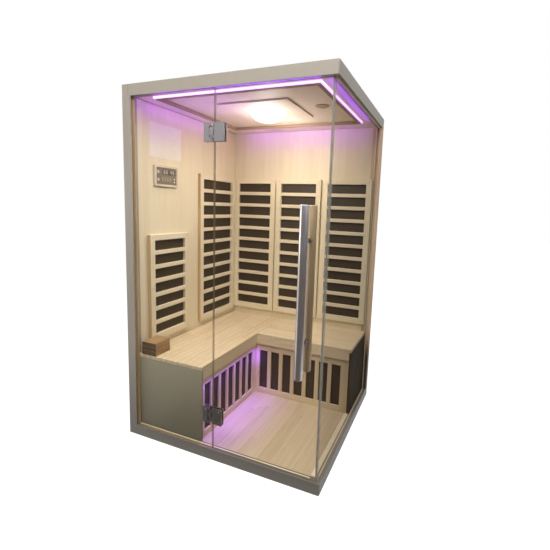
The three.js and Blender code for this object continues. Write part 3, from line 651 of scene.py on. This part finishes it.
def screw_heads(points, out, radius):
    """Low round heads with a pressed recess, on points of a surface that faces out."""
    depth = radius * 0.35
    head = bmesh.new()
    bmesh.ops.create_cone(head, cap_ends=True, segments=16, radius1=radius, radius2=radius * 0.72,
                          depth=depth)
    top = max(head.faces, key=lambda face: face.calc_center_median().z)
    bmesh.ops.inset_region(head, faces=[top], thickness=radius * 0.36, depth=-depth * 0.5)
    pattern = bpy.data.meshes.new("screw_head")
    head.to_mesh(pattern)
    head.free()
    turn = out.to_track_quat("Z", "Y").to_matrix().to_4x4()
    mesh = bmesh.new()
    for point in points:
        placed = len(mesh.verts)
        mesh.from_mesh(pattern)
        matrix = Matrix.Translation(Vector(point) + out * depth * 0.45) @ turn
        bmesh.ops.transform(mesh, matrix=matrix, verts=mesh.verts[placed:])
    bpy.data.meshes.remove(pattern)
    return mesh


class Piece:
    """What every piece's operator shares."""

    bl_options = {"REGISTER", "UNDO"}


class SAUNA_OT_shell(Piece, bpy.types.Operator):
    """Finish the painted shell, the linings, the floor and the roof"""

    bl_idname = "sauna.shell"
    bl_label = "Shell and linings"

    def execute(self, context):
        timber = context.scene.sauna_timber
        rounding = 0.0012
        for node in ("base_frame", "left_wall_shell", "roof_frame", "roof_cover"):
            finish_node(node, paint("shell_paint", timber.paint), rounding)
        seat_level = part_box("back_bench_top")[1].z
        # The back wall's shell is darkened below the seat as painted shade.
        post = wood("post_timber", timber.post_pale, timber.post_dark, "zx", shade_height=seat_level)
        finish_node("back_wall_shell", post, rounding)
        low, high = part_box("roof_frame")
        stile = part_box("left_wall_lining")[0].x
        half_width, proud, sunk, short = 0.0006, 0.0003, 0.0004, 0.002
        line = plastic("joint_line", srgb(112, 104, 94))
        add_board("fascia_joint", 270, (stile - half_width, low.y - proud, low.z),
                  (stile + half_width, low.y + sunk, high.z - short), 2, 0.0001, line)
        finish_node("left_wall_lining", lining_wood("zy"))
        finish_node("back_wall_lining", lining_wood("zx"))
        finish_node("ceiling_lining", ceiling_wood())
        # The floor's pale broken seams are a painted highlight.
        boards = wood("floor_timber", timber.floor_pale, timber.floor_dark, "yx",
                      contrast=0.8, joint_and_glint_tone=1.2, joint_and_glint_share=0.35)
        finish_node("floor_panel", boards, rounding=0.0008)
        return {"FINISHED"}


class SAUNA_OT_beads(Piece, bpy.types.Operator):
    """Add the glazing beads and the sills that hold the panes"""

    bl_idname = "sauna.beads"
    bl_label = "Beads and sills"

    def execute(self, context):
        timber = context.scene.sauna_timber
        edge = timber.edge
        pane_gap, seal_gap, heater_gap = 0.0006, 0.001, 0.0005
        sill_width, lip_height, rear_depth = 0.026, 0.0065, 0.010
        head_height, head_width, head_edge = 0.009, 0.006, 0.001
        floor_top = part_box("floor_panel")[1].z + CLEARANCE
        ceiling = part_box("ceiling_lining")[0].z - CLEARANCE
        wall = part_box("left_wall_lining")[1].x + CLEARANCE
        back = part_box("back_wall_lining")[0].y - CLEARANCE
        glass_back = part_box("fixed_front_glass")[1].y + pane_gap
        side_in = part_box("side_glass")[0].x - pane_gap
        seal_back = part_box("side_glass_seal")[1].y + seal_gap
        bead_right = wall + timber.bead_width
        bead_back = glass_back + timber.bead_depth
        add_board("front_left_bead", 200, (wall, glass_back, floor_top), (bead_right, bead_back, ceiling),
                  2, edge, brown_wood())

        sill_top = floor_top + timber.sill_height
        sill_left = side_in - sill_width
        add_board("front_sill_lip", 210, (bead_right + CLEARANCE, glass_back, floor_top),
                  (sill_left - CLEARANCE, bead_back, floor_top + lip_height),
                  0, edge, lining_wood())
        bench_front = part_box("back_bench_front")[0].y - CLEARANCE
        add_board("side_sill_bead", 220, (sill_left, seal_back, floor_top), (side_in, bench_front, sill_top),
                  1, edge * 2, lining_wood())
        rear_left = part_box("back_heater_3_grille")[1].x + heater_gap
        bench_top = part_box("back_bench_top")[1].z + CLEARANCE
        add_board("rear_right_bead", 230, (rear_left, back - rear_depth, bench_top), (side_in, back, ceiling),
                  2, edge, seat_wood())

        side_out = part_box("side_glass")[1].x + CLEARANCE
        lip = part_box("roof_frame")[0].z - CLEARANCE
        post_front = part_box("back_wall_shell")[0].y - CLEARANCE
        add_board("side_head_bead", 240, (side_out, seal_back, lip - head_height),
                  (side_out + head_width, post_front, lip), 1, head_edge, seat_wood())
        return {"FINISHED"}


class SAUNA_OT_glass(Piece, bpy.types.Operator):
    """Finish the front pane, the door pane, the side pane and its strip"""

    bl_idname = "sauna.glass"
    bl_label = "Glass"

    def execute(self, context):
        timber = context.scene.sauna_timber
        heights = (("z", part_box("base_frame")[1].z, -1), ("z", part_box("roof_frame")[0].z, 1))
        left = ("x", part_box("left_wall_lining")[1].x, -1)
        rear = ("y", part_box("back_wall_shell")[0].y, 1)
        front = pane_glass("front_glass", "y", tint=0.01, gloss=0.05, gasket=timber.brown_pale,
                           limits=(*heights, left))
        # The side pane's pale gasket is painted light in the groove.
        side = pane_glass("side_glass_clear", "x", tint=0.09, gloss=0.0, gasket=timber.gasket,
                          limits=(*heights, rear))
        finish_node("fixed_front_glass", front)
        finish_node("door_glass", front)
        finish_node("side_glass", side)
        finish_node("side_glass_seal", clear_strip())
        return {"FINISHED"}


class SAUNA_OT_hinges(Piece, bpy.types.Operator):
    """Finish the glass hinges and add their clamp screws and shoulders"""

    bl_idname = "sauna.hinges"
    bl_label = "Hinges"

    def execute(self, context):
        metal = steel("hinge_steel", context.scene.sauna_fitting.steel, "z")
        screw_radius, screw_rise = 0.0042, 0.32
        for level in ("lower", "upper"):
            for leaf, body in (("fixed_leaf", "cabin"), ("door_leaf", "door")):
                node = f"{level}_hinge_{leaf}"
                finish_node(node, metal, rounding=0.0012)
                low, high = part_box(node)
                middle = (low + high) / 2
                rise = (high.z - low.z) * screw_rise
                away = low.x + 0.014 if body == "cabin" else high.x - 0.017
                for side, out, y in (("out", -Y_AXIS, low.y), ("in", Y_AXIS, high.y)):
                    points = [(away, y, middle.z + sign * rise) for sign in (-1, 1)]
                    screws = screw_heads(points, out, screw_radius)
                    add_piece(f"{node}_screws_{side}", screws, metal, body)
            finish_node(f"{level}_hinge_pin", metal)
            self.add_shoulders(level, metal)
        return {"FINISHED"}

    def add_shoulders(self, level, metal):
        """Blocks over and under the knuckle that close the space between the two leaves."""
        low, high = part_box(f"{level}_hinge_fixed_leaf")
        glass_front, glass_back = (corner.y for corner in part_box("fixed_front_glass"))
        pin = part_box(f"{level}_hinge_pin")
        axis = (pin[0].x + pin[1].x) / 2
        left, right = axis - 0.0139, axis + 0.003
        tall, edge = 0.015, 0.0008
        blocks = BoardStack(250)
        for near, far in ((low.y, glass_front), (glass_back, high.y)):
            blocks.board((left, near, low.z), (right, far, low.z + tall), 2, edge)
            blocks.board((left, near, high.z - tall), (right, far, high.z), 2, edge)
        add_piece(f"{level}_hinge_shoulders", blocks.mesh, metal, "cabin")


class SAUNA_OT_handle(Piece, bpy.types.Operator):
    """Turn the two round handle bars and the bolts that join them through the door"""

    bl_idname = "sauna.handle"
    bl_label = "Door handle"

    def execute(self, context):
        fitting = context.scene.sauna_fitting
        tones = {"outer": (fitting.bar_steel, 0.20), "inner": (fitting.warm_steel, 0.45)}
        rounding = 0.003
        for side, (tone, roughness) in tones.items():
            low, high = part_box(f"{side}_handle_bar")
            half = (high.z - low.z) / 2
            radius = (high.x - low.x) / 2
            bottom, top = (rounded_end(radius, half, rounding, sign) for sign in (-1, 1))
            mesh = spun(bottom + top[::-1], 64)
            bmesh.ops.translate(mesh, vec=(low + high) / 2, verts=mesh.verts)
            metal = steel(f"{side}_bar_steel", tone, "z", roughness)
            bar = add_piece(f"{side}_bar", mesh, metal, "door", [f"{side}_handle_bar"])
            smooth_shape(bar, math.radians(50))
        for level in ("lower", "upper"):
            self.add_standoff(level, steel("bolt_steel", fitting.steel, "z"))
        return {"FINISHED"}

    def add_standoff(self, level, metal):
        """A bolt between the two bars, with a collar on each face of the glass."""
        outer_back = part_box("outer_handle_bar")[1].y
        inner_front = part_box("inner_handle_bar")[0].y
        glass_front, glass_back = (corner.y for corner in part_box("door_glass"))
        low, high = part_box(f"{level}_handle_bolt")
        middle = (low + high) / 2
        radius = (high.x - low.x) / 2
        waist, collar = radius * 0.66, radius * 1.25
        reach, flange = 0.004, 0.003
        stations = [
            (0.0, outer_back - reach), (radius, outer_back - reach), (radius, glass_front - flange),
            (collar, glass_front - flange), (collar, glass_front - CLEARANCE),
            (waist, glass_front - CLEARANCE), (waist, glass_back + CLEARANCE),
            (collar, glass_back + CLEARANCE), (collar, glass_back + flange),
            (radius, glass_back + flange), (radius, inner_front + reach), (0.0, inner_front + reach),
        ]
        mesh = spun([(wide, y - middle.y) for wide, y in stations], 40)
        turn = Matrix.Rotation(-math.pi / 2, 3, "X")
        bmesh.ops.rotate(mesh, cent=(0, 0, 0), matrix=turn, verts=mesh.verts)
        bmesh.ops.translate(mesh, vec=middle, verts=mesh.verts)
        bolt = add_piece(f"{level}_standoff", mesh, metal, "door", [f"{level}_handle_bolt"])
        smooth_shape(bolt, math.radians(40))


def slatted_frame(stack, size, sides, ends, slat, count, upright, depths, edge):
    """Two stiles, two rails and slats between equal slots.

    The depths are the frame's back, the slats' back and the slats' front."""
    wide, high, front = size
    frame_back, slat_back, slat_front = depths
    for low, near in ((0.0, sides[0]), (wide - sides[1], wide)):
        stack.board((low, 0.0, frame_back), (near, high, front), 1, edge)
    for low, near in ((0.0, ends[0]), (high - ends[1], high)):
        stack.board((sides[0], low, frame_back), (wide - sides[1], near, front), 0, edge)
    run = wide - sides[0] - sides[1] if upright else high - ends[0] - ends[1]
    slot = (run - (count - 1) * slat) / count
    for index in range(1, count):
        start = index * (slot + slat) - slat
        if upright:
            left = sides[0] + start
            stack.board((left, ends[0], slat_back), (left + slat, high - ends[1], slat_front), 1, edge)
        else:
            bottom = ends[0] + start
            stack.board((sides[0], bottom, slat_back), (wide - sides[1], bottom + slat, slat_front), 0, edge)


class SAUNA_OT_wall_heaters(Piece, bpy.types.Operator):
    """Build the slatted wall grilles board by board, with screws, over the carbon film"""

    bl_idname = "sauna.wall_heaters"
    bl_label = "Wall heaters"

    def execute(self, context):
        heater = context.scene.sauna_heater
        edge = context.scene.sauna_timber.edge
        stiles = (heater.stile, heater.stile)
        rails = (heater.bottom_rail, heater.top_rail)
        metal = steel("screw_steel", context.scene.sauna_fitting.warm_steel, "z")
        for number, (name, (slots, wall)) in enumerate(WALL_HEATERS.items()):
            low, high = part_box(f"{name}_grille")
            if wall == "left":
                origin, along, out = low, Y_AXIS, X_AXIS
                size = (high.y - low.y, high.z - low.z, high.x - low.x)
            else:
                origin, along, out = Vector((low.x, high.y, low.z)), X_AXIS, -Y_AXIS
                size = (high.x - low.x, high.z - low.z, high.y - low.y)
            matrix = wall_frame(origin, along, out)
            wide, tall, thick = size
            slat_front = thick - heater.slat_recess
            depths = (0.0, slat_front - heater.slat_depth, slat_front)
            stack = BoardStack(1 + number * 20)
            slatted_frame(stack, size, stiles, rails, heater.slat, slots, False, depths, edge)
            # The front end faces of the left wall's grilles take the brown timber as painted shade.
            for face in stack.mesh.faces:
                if wall == "left" and face.calc_center_median().x < edge:
                    face.material_index = 1
            stack.place(matrix)
            grille = f"{name}_grille"
            boards = add_piece(f"{name}_boards", stack.mesh, lining_wood(), "cabin", [grille])
            boards.data.materials.append(brown_wood())
            finish_node(f"{name}_carbon_panel", carbon_film())
            levels = (heater.bottom_rail / 2, tall / 2, tall - heater.top_rail / 2)
            uprights = (heater.stile / 2, wide - heater.stile / 2)
            spots = [matrix @ Vector((u, v, thick)) for u in uprights for v in levels]
            screws = screw_heads(spots, out, heater.screw_radius)
            add_piece(f"{name}_screws", screws, metal, "cabin")
        return {"FINISHED"}


class SAUNA_OT_bench(Piece, bpy.types.Operator):
    """Build the bench's slatted fronts and finish its tops and ends"""

    bl_idname = "sauna.bench"
    bl_label = "Bench"

    def execute(self, context):
        timber = context.scene.sauna_timber
        heater = context.scene.sauna_heater
        finish_node("left_bench_top", seat_wood("yx"), rounding=0.0025)
        finish_node("back_bench_top", seat_wood("xy"), rounding=0.0025)
        finish_node("bench_front_end_panel", paint("end_paint", timber.end_paint), rounding=0.001)
        # Dark wood on the right bench end is painted shade beside the side glass.
        shade = wood("shade_timber", timber.shade_pale, timber.shade_dark, "zy", gloss=0.03)
        finish_node("bench_right_end_panel", shade, rounding=0.001)
        finish_node("bench_wall_cleat", brown_wood("yx"))
        thick, recess, joint = 0.012, 0.001, 0.0005
        slots = 7
        rails = (heater.bench_bottom_rail, heater.bench_top_rail)
        depths = (0.0, 0.0, thick - recess)
        strip_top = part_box("bench_led_strip")[1].z
        walls = {
            "left": (Y_AXIS, X_AXIS, (heater.front_stile, heater.corner_stile), heater.left_slat),
            "back": (X_AXIS, -Y_AXIS, (heater.inner_stile, heater.end_stile), heater.back_slat),
        }
        for number, (side, (along, out, sides, slat)) in enumerate(walls.items()):
            low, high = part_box(f"{side}_bench_front")
            if side == "left":
                origin = low
                wide, depth = high.y - low.y, high.x - low.x
                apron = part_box("back_bench_top")[0].y - CLEARANCE - low.y
            else:
                origin = Vector((low.x, high.y, low.z))
                wide, depth = high.x - low.x, high.y - low.y
                apron = wide
            tall = strip_top + CLEARANCE - low.z
            stack = BoardStack(110 + number * 20)
            size = (wide, tall - joint, thick)
            slatted_frame(stack, size, sides, rails, slat, slots, True, depths, timber.edge)
            stack.board((0.0, tall, 0.0), (apron, high.z - low.z, depth), 0, timber.edge * 1.6)
            stack.place(wall_frame(origin, along, out))
            front = f"{side}_bench_front"
            add_piece(f"{side}_bench_boards", stack.mesh, seat_wood(), "cabin", [front])
            finish_node(f"{side}_bench_carbon_panel", carbon_film())
        strength = context.scene.sauna_light.bench_strength
        finish_node("bench_led_strip", light_strip("bench_strip", "bench_led_strip", strength))
        return {"FINISHED"}


class SAUNA_OT_ceiling_lights(Piece, bpy.types.Operator):
    """Build the batten frame and the lamp, and finish the light strips and the speaker"""

    bl_idname = "sauna.ceiling_lights"
    bl_label = "Ceiling lights"

    def execute(self, context):
        timber = context.scene.sauna_timber
        low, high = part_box("ceiling_light_frame")
        batten = 0.018
        stack = BoardStack(160)
        for near, far in ((low.y, low.y + batten), (high.y - batten, high.y)):
            stack.board((low.x, near, low.z), (high.x, far, high.z), 0, timber.edge)
        for near, far in ((low.x, low.x + batten), (high.x - batten, high.x)):
            stack.board((near, low.y + batten, low.z), (far, high.y - batten, high.z), 1, timber.edge)
        battens = wood("batten_timber", timber.batten_pale, timber.batten_dark)
        add_piece("light_frame_battens", stack.mesh, battens, "cabin",
                  ["ceiling_light_frame"])
        strength = context.scene.sauna_light.strip_strength
        finish_node("ceiling_led_strip", light_strip("ceiling_strip", "ceiling_led_strip", strength))
        finish_node("lamp_board", ceiling_wood(), rounding=0.001)
        self.add_rim()
        self.add_dome()
        finish_node("ceiling_speaker", plastic("speaker_grille", context.scene.sauna_fitting.grille))
        return {"FINISHED"}

    def add_rim(self):
        """The lamp's round base, softened at its edges, glowing with the dome's opal as painted light."""
        low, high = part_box("lamp_base")
        radius = (high.x - low.x) / 2
        half = (high.z - low.z) / 2
        bottom = rounded_end(radius, half, 0.004, -1)
        top = rounded_end(radius, half, 0.001, 1)
        mesh = spun(bottom + top[::-1], 72)
        bmesh.ops.translate(mesh, vec=(low + high) / 2, verts=mesh.verts)
        rim = add_piece("lamp_rim", mesh, opal(), "cabin", ["lamp_base"])
        smooth_shape(rim, math.radians(40))

    def add_dome(self):
        """The lamp's dome, a quarter of an ellipse turned about its axis."""
        low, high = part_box("lamp_dome")
        middle = (low + high) / 2
        radius = (high.x - low.x) / 2
        drop = high.z - low.z
        steps = 14
        angles = [math.pi / 2 * step / steps for step in range(steps + 1)]
        arc = [(radius * math.sin(angle), -drop * math.cos(angle)) for angle in angles]
        mesh = spun(arc + [(0.0, 0.0)], 72)
        bmesh.ops.translate(mesh, vec=(middle.x, middle.y, high.z), verts=mesh.verts)
        dome = add_piece("opal_lamp", mesh, opal(), "cabin", ["lamp_dome"])
        smooth_shape(dome, math.radians(60))


class SAUNA_OT_controls(Piece, bpy.types.Operator):
    """Finish the control panel and add its display digits and lamps"""

    bl_idname = "sauna.controls"
    bl_label = "Control panel"

    def execute(self, context):
        fitting = context.scene.sauna_fitting
        pale = plastic("pale_plastic", fitting.pale_plastic)
        keys = plastic("key_plastic", fitting.key)
        finish_node("control_bezel", pale, rounding=0.001)
        dark = plastic("dark_plastic", fitting.dark_plastic, roughness=0.3)
        finish_node("control_face", dark, rounding=0.0004)
        for button in BUTTONS:
            finish_node(button, keys if "key" in button else pale, rounding=0.0006)
        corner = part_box("control_bezel")[0]
        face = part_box("control_face")[1].x - corner.x
        matrix = wall_frame(corner, Y_AXIS, X_AXIS)
        front = face + 0.0009
        window = BoardStack(180)
        window.board((0.060, 0.066, face + 0.0001), (0.168, 0.096, front), 0, 0.0003)
        window.place(matrix)
        pane = plastic("display_glass", fitting.window, roughness=0.1)
        add_piece("display_window", window.mesh, pane, "cabin")
        digits = BoardStack(190)
        pitch, level = 0.019, 0.072
        for start, text in ((0.070, "60"), (0.124, "45")):
            for place, digit in enumerate(text):
                self.add_digit(digits, start + place * pitch, level, front, digit)
        digits.place(matrix)
        lit = display_light("display_digits", (0.62, 0.66, 0.58), strength=0.15)
        add_piece("display_digits", digits.mesh, lit, "cabin")
        self.add_lamps(face, matrix)
        return {"FINISHED"}

    def add_digit(self, stack, u, v, w, digit):
        """A seven-segment figure made of thin bars."""
        wide, half, bar, thick = 0.0125, 0.0095, 0.0022, 0.0004
        spans = {
            "a": ((0, 2 * half - bar), (wide, 2 * half)),
            "g": ((0, half - bar / 2), (wide, half + bar / 2)),
            "d": ((0, 0), (wide, bar)),
            "f": ((0, half), (bar, 2 * half)),
            "b": ((wide - bar, half), (wide, 2 * half)),
            "e": ((0, 0), (bar, half)),
            "c": ((wide - bar, 0), (wide, half)),
        }
        for segment in SEGMENTS[digit]:
            (left, bottom), (right, top) = spans[segment]
            stack.board((u + left, v + bottom, w), (u + right, v + top, w + thick), 0, 0.0001)

    def add_lamps(self, face, matrix):
        """Two small lamps, one above the other, at the right of the panel."""
        depth = 0.0012
        lamps = bmesh.new()
        for spot in ((0.160, 0.029), (0.160, 0.046)):
            made = bmesh.ops.create_cone(lamps, cap_ends=True, segments=20, radius1=0.0036, radius2=0.0028,
                                         depth=depth)
            bmesh.ops.translate(lamps, vec=(*spot, face + depth / 2), verts=made["verts"])
        bmesh.ops.transform(lamps, matrix=matrix, verts=lamps.verts)
        lit = display_light("indicator_lamp", (0.85, 0.90, 0.90), strength=0.4)
        add_piece("indicator_lamps", lamps, lit, "cabin")


class SAUNA_OT_small_parts(Piece, bpy.types.Operator):
    """Finish the wooden box and the power supply, and add the bare sheet on the left wall"""

    bl_idname = "sauna.small_parts"
    bl_label = "Small parts"

    def execute(self, context):
        timber = context.scene.sauna_timber
        # The box's end faces at 0.4 are end grain darkened further by painted shade.
        brown = wood("box_timber", timber.box_pale, timber.box_dark, "yz", end_grain_and_shade_tone=0.4)
        finish_node("wooden_box", brown, rounding=0.0015)
        finish_node("power_box", plastic("white_coat", srgb(236, 233, 226)), rounding=0.001)
        inlet = plastic("dark_grille", context.scene.sauna_fitting.dark_plastic)
        finish_node("power_inlet", inlet, rounding=0.0006)
        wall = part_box("left_wall_lining")[1].x
        low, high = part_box("control_bezel")
        middle = (low.y + high.y) / 2
        above, tall = 0.042, 0.185
        forward, rearward = 0.122, 0.140
        bottom = high.z + above
        pale = plastic("pale_sheet", srgb(240, 230, 214), roughness=0.5)
        add_board("wall_sheet", 260, (wall + 0.0002, middle - forward, bottom),
                  (wall + 0.0010, middle + rearward, bottom + tall), 1, 0.0003, pale)
        return {"FINISHED"}


class SAUNA_OT_stage(Piece, bpy.types.Operator):
    """Set the camera, the studio light, the cabin's own light and the white floor"""

    bl_idname = "sauna.stage"
    bl_label = "Stage"

    def execute(self, context):
        scene = context.scene
        stage = scene.sauna_stage
        scene.view_settings.view_transform = "Standard"
        camera = bpy.data.objects.new("camera", bpy.data.cameras.new("camera"))
        camera.location = stage.place
        camera.rotation_euler = Euler(stage.turn)
        camera.data.sensor_width = SENSOR_WIDTH
        camera.data.lens = stage.lens
        camera.data.shift_x, camera.data.shift_y = stage.shift
        scene.collection.objects.link(camera)
        scene.camera = camera
        self.add_studio_lights(stage.key_power)
        self.add_cabin_lights(scene.sauna_light)
        self.add_strip_lights(scene.sauna_light)
        self.add_cards()
        self.add_world(stage)
        self.add_floor(stage)
        return {"FINISHED"}

    def link_light(self, data):
        """The object of a light, which the camera doesn't see."""
        lamp = bpy.data.objects.new(data.name, data)
        lamp.visible_camera = False
        bpy.context.scene.collection.objects.link(lamp)
        return lamp

    def add_lamp(self, name, kind, place, power, colour, size, target=(0.0, 0.0, 0.9), spread=math.pi):
        """A round or square light that faces its target."""
        data = bpy.data.lights.new(name, kind)
        data.energy = power
        data.color = colour
        if kind == "AREA":
            data.size = size
            data.spread = spread
        else:
            data.shadow_soft_size = size
        lamp = self.link_light(data)
        lamp.location = place
        aim = Vector(target) - Vector(place)
        lamp.rotation_euler = aim.to_track_quat("-Z", "Y").to_euler()

    def add_studio_lights(self, power):
        """Large soft lights round the cabin, and a small one for the handle's edge."""
        warm, cool, plain = (1.0, 0.98, 0.95), (0.96, 0.98, 1.0), (1.0, 1.0, 1.0)
        handle = (0.45, -0.6, 0.95)
        self.add_lamp("key_light", "AREA", (0.3, -1.9, 3.6), power, warm, 2.2)
        self.add_lamp("fill_light", "AREA", (3.2, -0.6, 3.4), power * 0.34, cool, 2.4)
        self.add_lamp("back_light", "AREA", (-1.2, 3.4, 2.4), power * 0.45, warm, 2.0)
        self.add_lamp("rim_light", "AREA", (-2.6, -1.2, 1.3), power * 0.15, plain, 0.5, handle)

    def add_cabin_lights(self, light):
        """What the lamp throws about it, back, up and down, and the strip's glow on the ceiling."""
        low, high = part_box("lamp_dome")
        middle = (low + high) / 2
        x, y, below = middle.x, middle.y, low.z
        back_wall, drop = 0.5, 0.09
        power, colour = light.lamp_power, light.lamp
        self.add_lamp("lamp_light", "POINT", (x, y, below - drop), power * 0.27, colour, 0.06)
        self.add_lamp("back_glow", "AREA", (x, y + 0.15, below - drop), power * 0.11, colour, 0.12,
                      (x, back_wall, below))
        halo = Vector((x - 0.04, y + 0.10, below - 0.3))
        self.add_lamp("up_light", "AREA", halo, power * 0.045, colour, 0.1, halo + Z_AXIS, math.radians(120))
        glow = Vector((-0.2, -0.3, 1.62))
        self.add_lamp("ceiling_glow", "AREA", glow, light.strip_power * 1.2, light.strip_light, 0.4,
                      glow + Z_AXIS)
        self.add_lamp("down_light", "AREA", (x, y, below - 0.004), power * 0.68, colour, 0.16, (x, y, 0.0))

    def add_strip_lights(self, light):
        """Long lights round the ceiling strip and under the left apron, and a small one for the corner."""
        low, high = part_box("ceiling_led_strip")
        middle = (low + high) / 2
        gap = 0.004
        lift = Z_AXIS * 0.1
        level = middle.z - 0.012
        wide, deep = high.x - low.x, high.y - low.y
        power, colour, spread = light.strip_power, light.strip_light, math.radians(110)
        runs = {
            "left": ((low.x - gap, middle.y, level), -X_AXIS + lift, deep, power * 0.5, colour, spread),
            "right": ((high.x + gap, middle.y, level), X_AXIS + lift, deep, power * 1.2, colour, spread),
            "front": ((middle.x, low.y - gap, level), -Y_AXIS + lift, wide, power, colour, spread),
            "back": ((middle.x, high.y + gap, level), Y_AXIS + lift, wide, power, colour, spread),
        }
        low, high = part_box("bench_led_strip")
        middle = (low + high) / 2
        apron_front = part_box("left_bench_front")[1].x
        runs["bench"] = ((apron_front - 0.001, middle.y, low.z - gap), Vector((0.12, 0, -1)), high.y - low.y,
                         light.bench_power, light.bench_light, math.radians(80))
        stile_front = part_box("back_bench_front")[0].y
        self.add_lamp("corner_glow", "AREA", (apron_front + 0.07, stile_front - 0.15, low.z - 0.08),
                      light.bench_power * 0.03, light.bench_light, 0.04,
                      (apron_front + 0.01, stile_front, low.z - 0.09), math.radians(50))
        for name, (place, facing, length, power, colour, spread) in runs.items():
            data = bpy.data.lights.new(f"{name}_strip_light", "AREA")
            data.shape = "RECTANGLE"
            data.size = length
            data.size_y = 0.006
            data.energy = length * power
            data.spread = spread
            data.color = colour
            across = Z_AXIS.cross(facing).normalized()
            up = facing.cross(across).normalized()
            turn = Matrix((across, -up, -facing.normalized())).transposed().to_4x4()
            self.link_light(data).matrix_world = Matrix.Translation(place) @ turn

    def add_cards(self):
        """Dark cards before the door, beside it and on the floor, which only polished surfaces show."""
        material, start = new_material("dark_card")
        tone = opaque(srgb(112, 104, 96))
        shade = start.node("ShaderNodeEmission", None, {"Color": tone, "Strength": 1.0})
        start.node("ShaderNodeOutputMaterial", None, {"Surface": shade})
        left, corner, rear = (-0.5, -1.15, 0.003), (1.6, -1.15, 0.003), (1.6, 1.4, 0.003)
        cards = {
            "front": (left, corner, Z_AXIS * 1.5),
            "right": (corner, rear, Z_AXIS * 1.5),
            "floor": (left, corner, Y_AXIS * 0.55),
        }
        for name, (near, far, reach) in cards.items():
            mesh = bmesh.new()
            side = mesh.edges.new([mesh.verts.new(end) for end in (near, far)])
            grown = bmesh.ops.extrude_edge_only(mesh, edges=[side])["geom"]
            moved = [item for item in grown if isinstance(item, bmesh.types.BMVert)]
            bmesh.ops.translate(mesh, vec=reach, verts=moved)
            card = new_object(f"{name}_card", mesh, material)
            for ray in ("camera", "diffuse", "transmission", "shadow"):
                setattr(card, f"visible_{ray}", False)

    def seen_directly(self, start):
        """1 for rays from the camera, from gloss and through glass, and 0 for those that light surfaces."""
        seen = [start.node("ShaderNodeLightPath", None, None, output)
                for output in ("Is Camera Ray", "Is Glossy Ray", "Is Transmission Ray")]
        return seen[0].math("MAXIMUM", seen[1]).math("MAXIMUM", seen[2])

    def add_world(self, stage):
        """A sky that looks white and lights the cabin less."""
        world = bpy.data.worlds.new("studio")
        world.use_nodes = True
        world.node_tree.nodes.clear()
        start = Wire(world.node_tree)
        seen = self.seen_directly(start)
        strength = seen * (1 - stage.sky_strength) + stage.sky_strength
        sky = start.node("ShaderNodeBackground", None, {"Color": (1, 1, 1, 1), "Strength": strength})
        start.node("ShaderNodeOutputWorld", None, {"Surface": sky})
        bpy.context.scene.world = world

    def add_floor(self, stage):
        """A grey floor that glows white where it is seen."""
        mesh = bmesh.new()
        bmesh.ops.create_grid(mesh, x_segments=8, y_segments=8, size=20.0)
        material, start = new_material("studio_floor")
        lift = self.seen_directly(start) * stage.floor_lift
        matt = start.node("ShaderNodeBsdfDiffuse", None, {"Color": opaque(srgb(134, 134, 134))})
        glow = start.node("ShaderNodeEmission", None, {"Color": (1, 1, 1, 1), "Strength": lift})
        both = start.node("ShaderNodeAddShader", None, {0: matt, 1: glow})
        start.node("ShaderNodeOutputMaterial", None, {"Surface": both})
        new_object("studio_floor", mesh, material)


OPERATORS = (
    SAUNA_OT_shell, SAUNA_OT_beads, SAUNA_OT_glass, SAUNA_OT_hinges, SAUNA_OT_handle, SAUNA_OT_wall_heaters,
    SAUNA_OT_bench, SAUNA_OT_ceiling_lights, SAUNA_OT_controls, SAUNA_OT_small_parts, SAUNA_OT_stage,
)
SETTINGS = {
    "sauna_timber": TimberSettings,
    "sauna_heater": HeaterSettings,
    "sauna_fitting": FittingSettings,
    "sauna_light": LightSettings,
    "sauna_stage": StageSettings,
}


class SAUNA_PT_looks(bpy.types.Panel):
    """Lists the steps that dress the cabin"""

    bl_idname = "SAUNA_PT_looks"
    bl_label = "Sauna cabin"
    bl_space_type = "VIEW_3D"
    bl_region_type = "UI"
    bl_category = "Sauna"

    def draw(self, context):
        for operator in OPERATORS:
            self.layout.operator(operator.bl_idname)
        for name in SETTINGS:
            settings = getattr(context.scene, name)
            column = self.layout.column()
            for key in settings.__annotations__:
                column.prop(settings, key)


def register():
    for group in SETTINGS.values():
        bpy.utils.register_class(group)
    for name, group in SETTINGS.items():
        setattr(bpy.types.Scene, name, bpy.props.PointerProperty(type=group))
    for operator in OPERATORS:
        bpy.utils.register_class(operator)
    bpy.utils.register_class(SAUNA_PT_looks)


def unregister():
    bpy.utils.unregister_class(SAUNA_PT_looks)
    for operator in reversed(OPERATORS):
        bpy.utils.unregister_class(operator)
    for name in SETTINGS:
        delattr(bpy.types.Scene, name)
    for group in reversed(SETTINGS.values()):
        bpy.utils.unregister_class(group)


def main():
    register()
    bpy.ops.sauna.shell()
    bpy.ops.sauna.beads()
    bpy.ops.sauna.glass()
    bpy.ops.sauna.hinges()
    bpy.ops.sauna.handle()
    bpy.ops.sauna.wall_heaters()
    bpy.ops.sauna.bench()
    bpy.ops.sauna.ceiling_lights()
    bpy.ops.sauna.controls()
    bpy.ops.sauna.small_parts()
    bpy.ops.sauna.stage()


if __name__ == "__main__":
    main()
